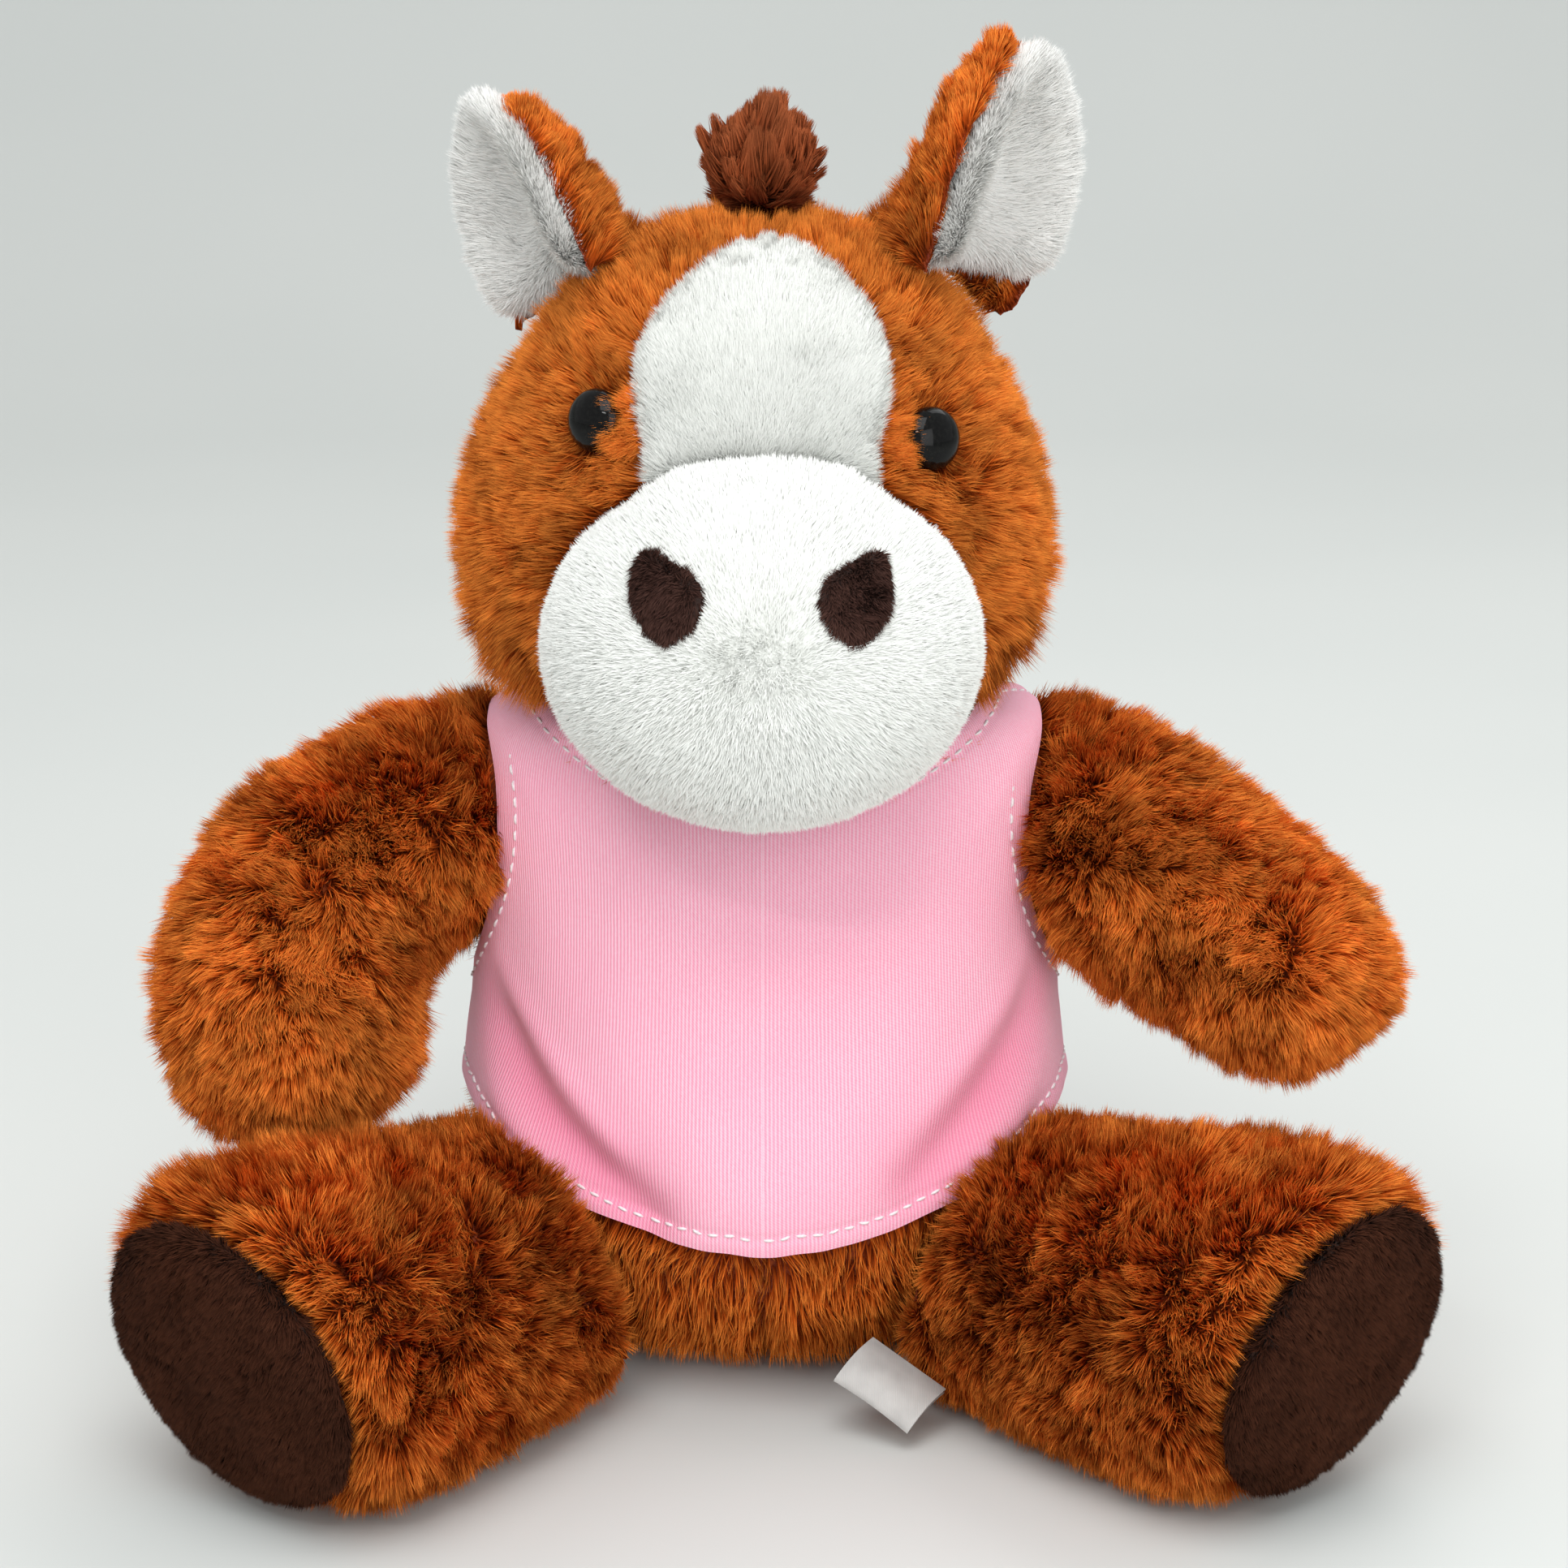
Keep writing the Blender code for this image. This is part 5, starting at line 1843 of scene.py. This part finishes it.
@dataclass
class Studio:
    """The floor, the lights and the camera of the photograph's view.

    Attributes:
        distance: The camera's distance from its target, in metres.
        elevation: How far it looks down, in radians.
        target: The point it looks at.
        metres_per_pixel: The size of the photograph's pixel at the target.
        cove: The radius of the floor's curve up into the backdrop.
        cove_start: How far behind the horse the curve starts.
    """

    distance: float = 0.80
    elevation: float = math.radians(15.0)
    target: Point = (0.004, 0.0, 0.118)
    metres_per_pixel: float = 0.00016
    cove: float = 0.8
    cove_start: float = 1.0

    def build(self) -> None:
        """Make the studio."""
        self.camera()
        self.floor()
        self.lights()
        bpy.context.scene.view_settings.view_transform = "Standard"

    def camera(self) -> None:
        """Place the camera where the photograph was taken from."""
        data = bpy.data.cameras.new("camera")
        camera = bpy.data.objects.new("camera", data)
        bpy.context.scene.collection.objects.link(camera)
        back = Vector((0, -math.cos(self.elevation), math.sin(self.elevation)))
        camera.location = Vector(self.target) + back * self.distance
        camera.rotation_euler = back.to_track_quat("Z", "Y").to_euler()
        data.sensor_width = 36.0
        data.lens = data.sensor_width * self.distance / (self.metres_per_pixel * PHOTO_PIXELS)
        data.clip_start = 0.01
        bpy.context.scene.camera = camera

    def floor(self) -> None:
        """Make a pale floor that curves up into the backdrop."""
        bpy.ops.object.select_all(action="DESELECT")
        bpy.ops.mesh.primitive_grid_add(x_subdivisions=2, y_subdivisions=90, size=1, location=(0, 0, 0))
        floor = bpy.context.object
        floor.name = "floor"
        for vertex in floor.data.vertices:
            along = vertex.co.y + 0.5
            vertex.co.x *= 16.0
            run = along * 11.0 - 8.0
            bend = max(0.0, run - self.cove_start)
            angle = min(bend / self.cove, math.pi / 2)
            vertex.co.y = min(run, self.cove_start) + self.cove * math.sin(angle)
            vertex.co.z = self.cove * (1 - math.cos(angle)) + max(0.0, bend - self.cove * math.pi / 2)
        bpy.ops.object.shade_smooth()
        material, tree, shader = material_tree("pale studio board")
        where = tree.node("ShaderNodeTexCoord").outputs["Object"]
        grain = tree.node("ShaderNodeTexNoise", {"Vector": where, "Scale": 3.0}).outputs[0]
        colour = tree.ramp(grain, ((0.3, (0.670, 0.690, 0.670)), (0.7, (0.700, 0.716, 0.694))))
        tree.tree.links.new(colour, shader.inputs["Base Color"])
        shader.inputs["Roughness"].default_value = 1.0
        shader.inputs["Specular IOR Level"].default_value = 0.0
        floor.data.materials.append(material)
        floor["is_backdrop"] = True

    def lights(self) -> None:
        """Light the horse softly from above, with a fill from the front."""
        world = bpy.data.worlds.new("studio air")
        world.use_nodes = True
        air = world.node_tree.nodes["Background"]
        air.inputs["Color"].default_value = (0.97, 0.99, 1.0, 1)
        air.inputs["Strength"].default_value = 0.68
        bpy.context.scene.world = world
        for name, place, size, power, spread in LAMPS:
            data = bpy.data.lights.new(name, "AREA")
            data.size = size
            data.spread = math.radians(spread)
            if name == "spark":
                data.shape = "RECTANGLE"
                data.size_y = size / 8
            data.energy = power
            lamp = bpy.data.objects.new(name, data)
            bpy.context.scene.collection.objects.link(lamp)
            lamp.location = place
            lamp.visible_camera = False
            aim = Vector(self.target) - Vector(place)
            lamp.rotation_euler = aim.to_track_quat("-Z", "Y").to_euler()


# Lamps: name, place, size, power and spread, in degrees, which keeps the fill's light off the floor before it
LAMPS = (("key", (-0.08, -0.70, 1.25), 0.9, 9.6, 180), ("fill", (0.6, -1.3, 0.5), 1.0, 3.2, 120),
         ("rim", (0.4, 0.6, 1.1), 0.8, 4.0, 180), ("spark", (-0.25, -0.9, 0.75), 0.24, 0.9, 180))

# Middles of the eyes' domes
EYES = {Side.LEFT: (0.0312, -0.0350, 0.1932), Side.RIGHT: (-0.0306, -0.0352, 0.1966)}

# Lines where the face is sunk, along which the pile is shorter and darkened as painted shade: from each eye
# outwards and up, and on the forehead
FACE_CREASES = (((-0.0375, -0.040, 0.1915), (-0.0500, -0.030, 0.1860)),
                ((-0.0270, -0.042, 0.2010), (-0.0235, -0.044, 0.192)),
                ((0.0390, -0.040, 0.1880), (0.0470, -0.032, 0.1790)),
                ((0.0275, -0.042, 0.1980), (0.0245, -0.044, 0.190)),
                ((-0.0270, -0.045, 0.1870), (-0.0300, -0.045, 0.1830)),
                ((0, -0.024, 0.2300), (0, 0.000, 0.2370)),
                ((0.0270, -0.030, 0.2240), (0.0340, -0.022, 0.2120)))

# Heights at which the ears leave the head, and above which their pile is shorter
EAR_FOOT = 0.212
EAR_TIP = 0.226

# Where the cheeks' pile hangs down beside the muzzle
JOWLS = ((-0.0440, -0.014, 0.1480), (0.0450, -0.014, 0.1480))

# Torso as the frame's solid has it: height, half width, half depth, and where its middle lies in depth
TORSO = ((-0.002, 0.033, 0.026, 0.020), (0.006, 0.0455, 0.034, 0.016), (0.018, 0.0530, 0.0425, 0.009),
         (0.036, 0.057, 0.048, 0.003), (0.056, 0.0575, 0.048, 0.002), (0.078, 0.0565, 0.044, 0.003),
         (0.098, 0.0555, 0.039, 0.004), (0.114, 0.0565, 0.035, 0.005), (0.126, 0.0570, 0.030, 0.006),
         (0.133, 0.0530, 0.024, 0.006), (0.1365, 0.038, 0.015, 0.006), (0.1380, 0.010, 0.005, 0.006))

# Height up to which the cloth swells and falls in folds
FOLD_TOP = 0.075

# Tank top's edges in the front view: height in the middle, half width and height of the ends
NECKLINE = {"front": (0.1205, 0.0410, 0.1350), "back": (0.127, 0.047, 0.134)}
HEM = {"front": (0.037, 0.058, 0.057), "back": (0.042, 0.058, 0.057)}

# Armholes' middle and half sizes, in depth and height
ARMHOLE_MIDDLE = (0.0085, 0.1070)
ARMHOLE_SIZE = (0.0215, 0.0265)

# A stitch: how far along it, and its radius and its height over the cloth there
STITCH = ((0.0, 0.00010, -0.00012), (0.25, 0.00030, 0.00016),
          (0.75, 0.00030, 0.00016), (1.0, 0.00010, -0.00012))

# Folds: start, end, width and rise
FOLDS = (((-0.0575, -0.018, 0.0800), (-0.0235, -0.045, 0.0440), 0.0050, -0.0026),
         ((-0.0560, -0.018, 0.0880), (-0.0290, -0.043, 0.0560), 0.0034, 0.0013),
         ((-0.0580, -0.020, 0.0660), (-0.0330, -0.043, 0.0420), 0.0034, 0.0011),
         ((0.0570, -0.018, 0.0810), (0.0310, -0.044, 0.0500), 0.0050, -0.0024),
         ((0.0555, -0.018, 0.0890), (0.0330, -0.043, 0.0620), 0.0034, 0.0013),
         ((0.0580, -0.020, 0.0670), (0.0380, -0.041, 0.0460), 0.0034, 0.0010),
         ((-0.0530, -0.010, 0.1300), (-0.0440, -0.022, 0.1180), 0.0026, 0.0007),
         ((0.0530, -0.010, 0.1290), (0.0440, -0.022, 0.1160), 0.0026, 0.0007))

# Points along the middles of the arms and the legs, and where the left paw is pressed in
ARM_LEFT_PATH = ((0.048, 0.010, 0.1115), (0.077, -0.008, 0.1025), (0.103, -0.027, 0.0865),
                 (0.119, -0.039, 0.076))
ARM_RIGHT_PATH = ((-0.048, 0.010, 0.1115), (-0.077, -0.006, 0.107), (-0.0925, -0.024, 0.085),
                  (-0.0865, -0.033, 0.060))
LEG_LEFT_PATH = ((0.034, -0.004, 0.028), (0.060, -0.033, 0.0285), (0.092, -0.068, 0.033),
                 (0.104, -0.084, 0.033))
LEG_RIGHT_PATH = ((-0.034, -0.004, 0.028), (-0.056, -0.035, 0.0285), (-0.081, -0.0675, 0.033),
                  (-0.0945, -0.0875, 0.033))
PAW_NOTCH = (0.1150, -0.0370, 0.0715)

# The shoulder's joint on the left, the half sizes of the stuffing round it, and the left paw's whorls
SHOULDER = (0.0535, 0.0085, 0.1095)
SHOULDER_FILL = (0.0240, 0.0205, 0.0240)
WHORLS = (((0.0998, -0.044, 0.1000), 0.0100), ((0.0935, -0.046, 0.0900), 0.0070))


def main() -> None:
    """Build every sub-assembly in order and report each piece."""
    logging.basicConfig(level=logging.INFO, format="%(name)s: %(message)s")
    Studio().build()
    Torso().build()
    TankTop().build()
    Label().build()
    Arm(Side.LEFT, ARM_LEFT_PATH, WHORLS, PAW_NOTCH).build()
    Arm(Side.RIGHT, ARM_RIGHT_PATH).build()
    Leg(Side.LEFT, LEG_LEFT_PATH).build()
    Leg(Side.RIGHT, LEG_RIGHT_PATH).build()
    tail()
    Head().build()
    Mane().build()
    Ear(Side.LEFT, 0.0022, 0.0055).build()
    Ear(Side.RIGHT, 0.0028, 0.0028).build()
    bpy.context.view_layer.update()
    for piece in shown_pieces():
        log.info("%s: %d faces", piece.name, len(piece.data.polygons))


if __name__ == "__main__":
    main()
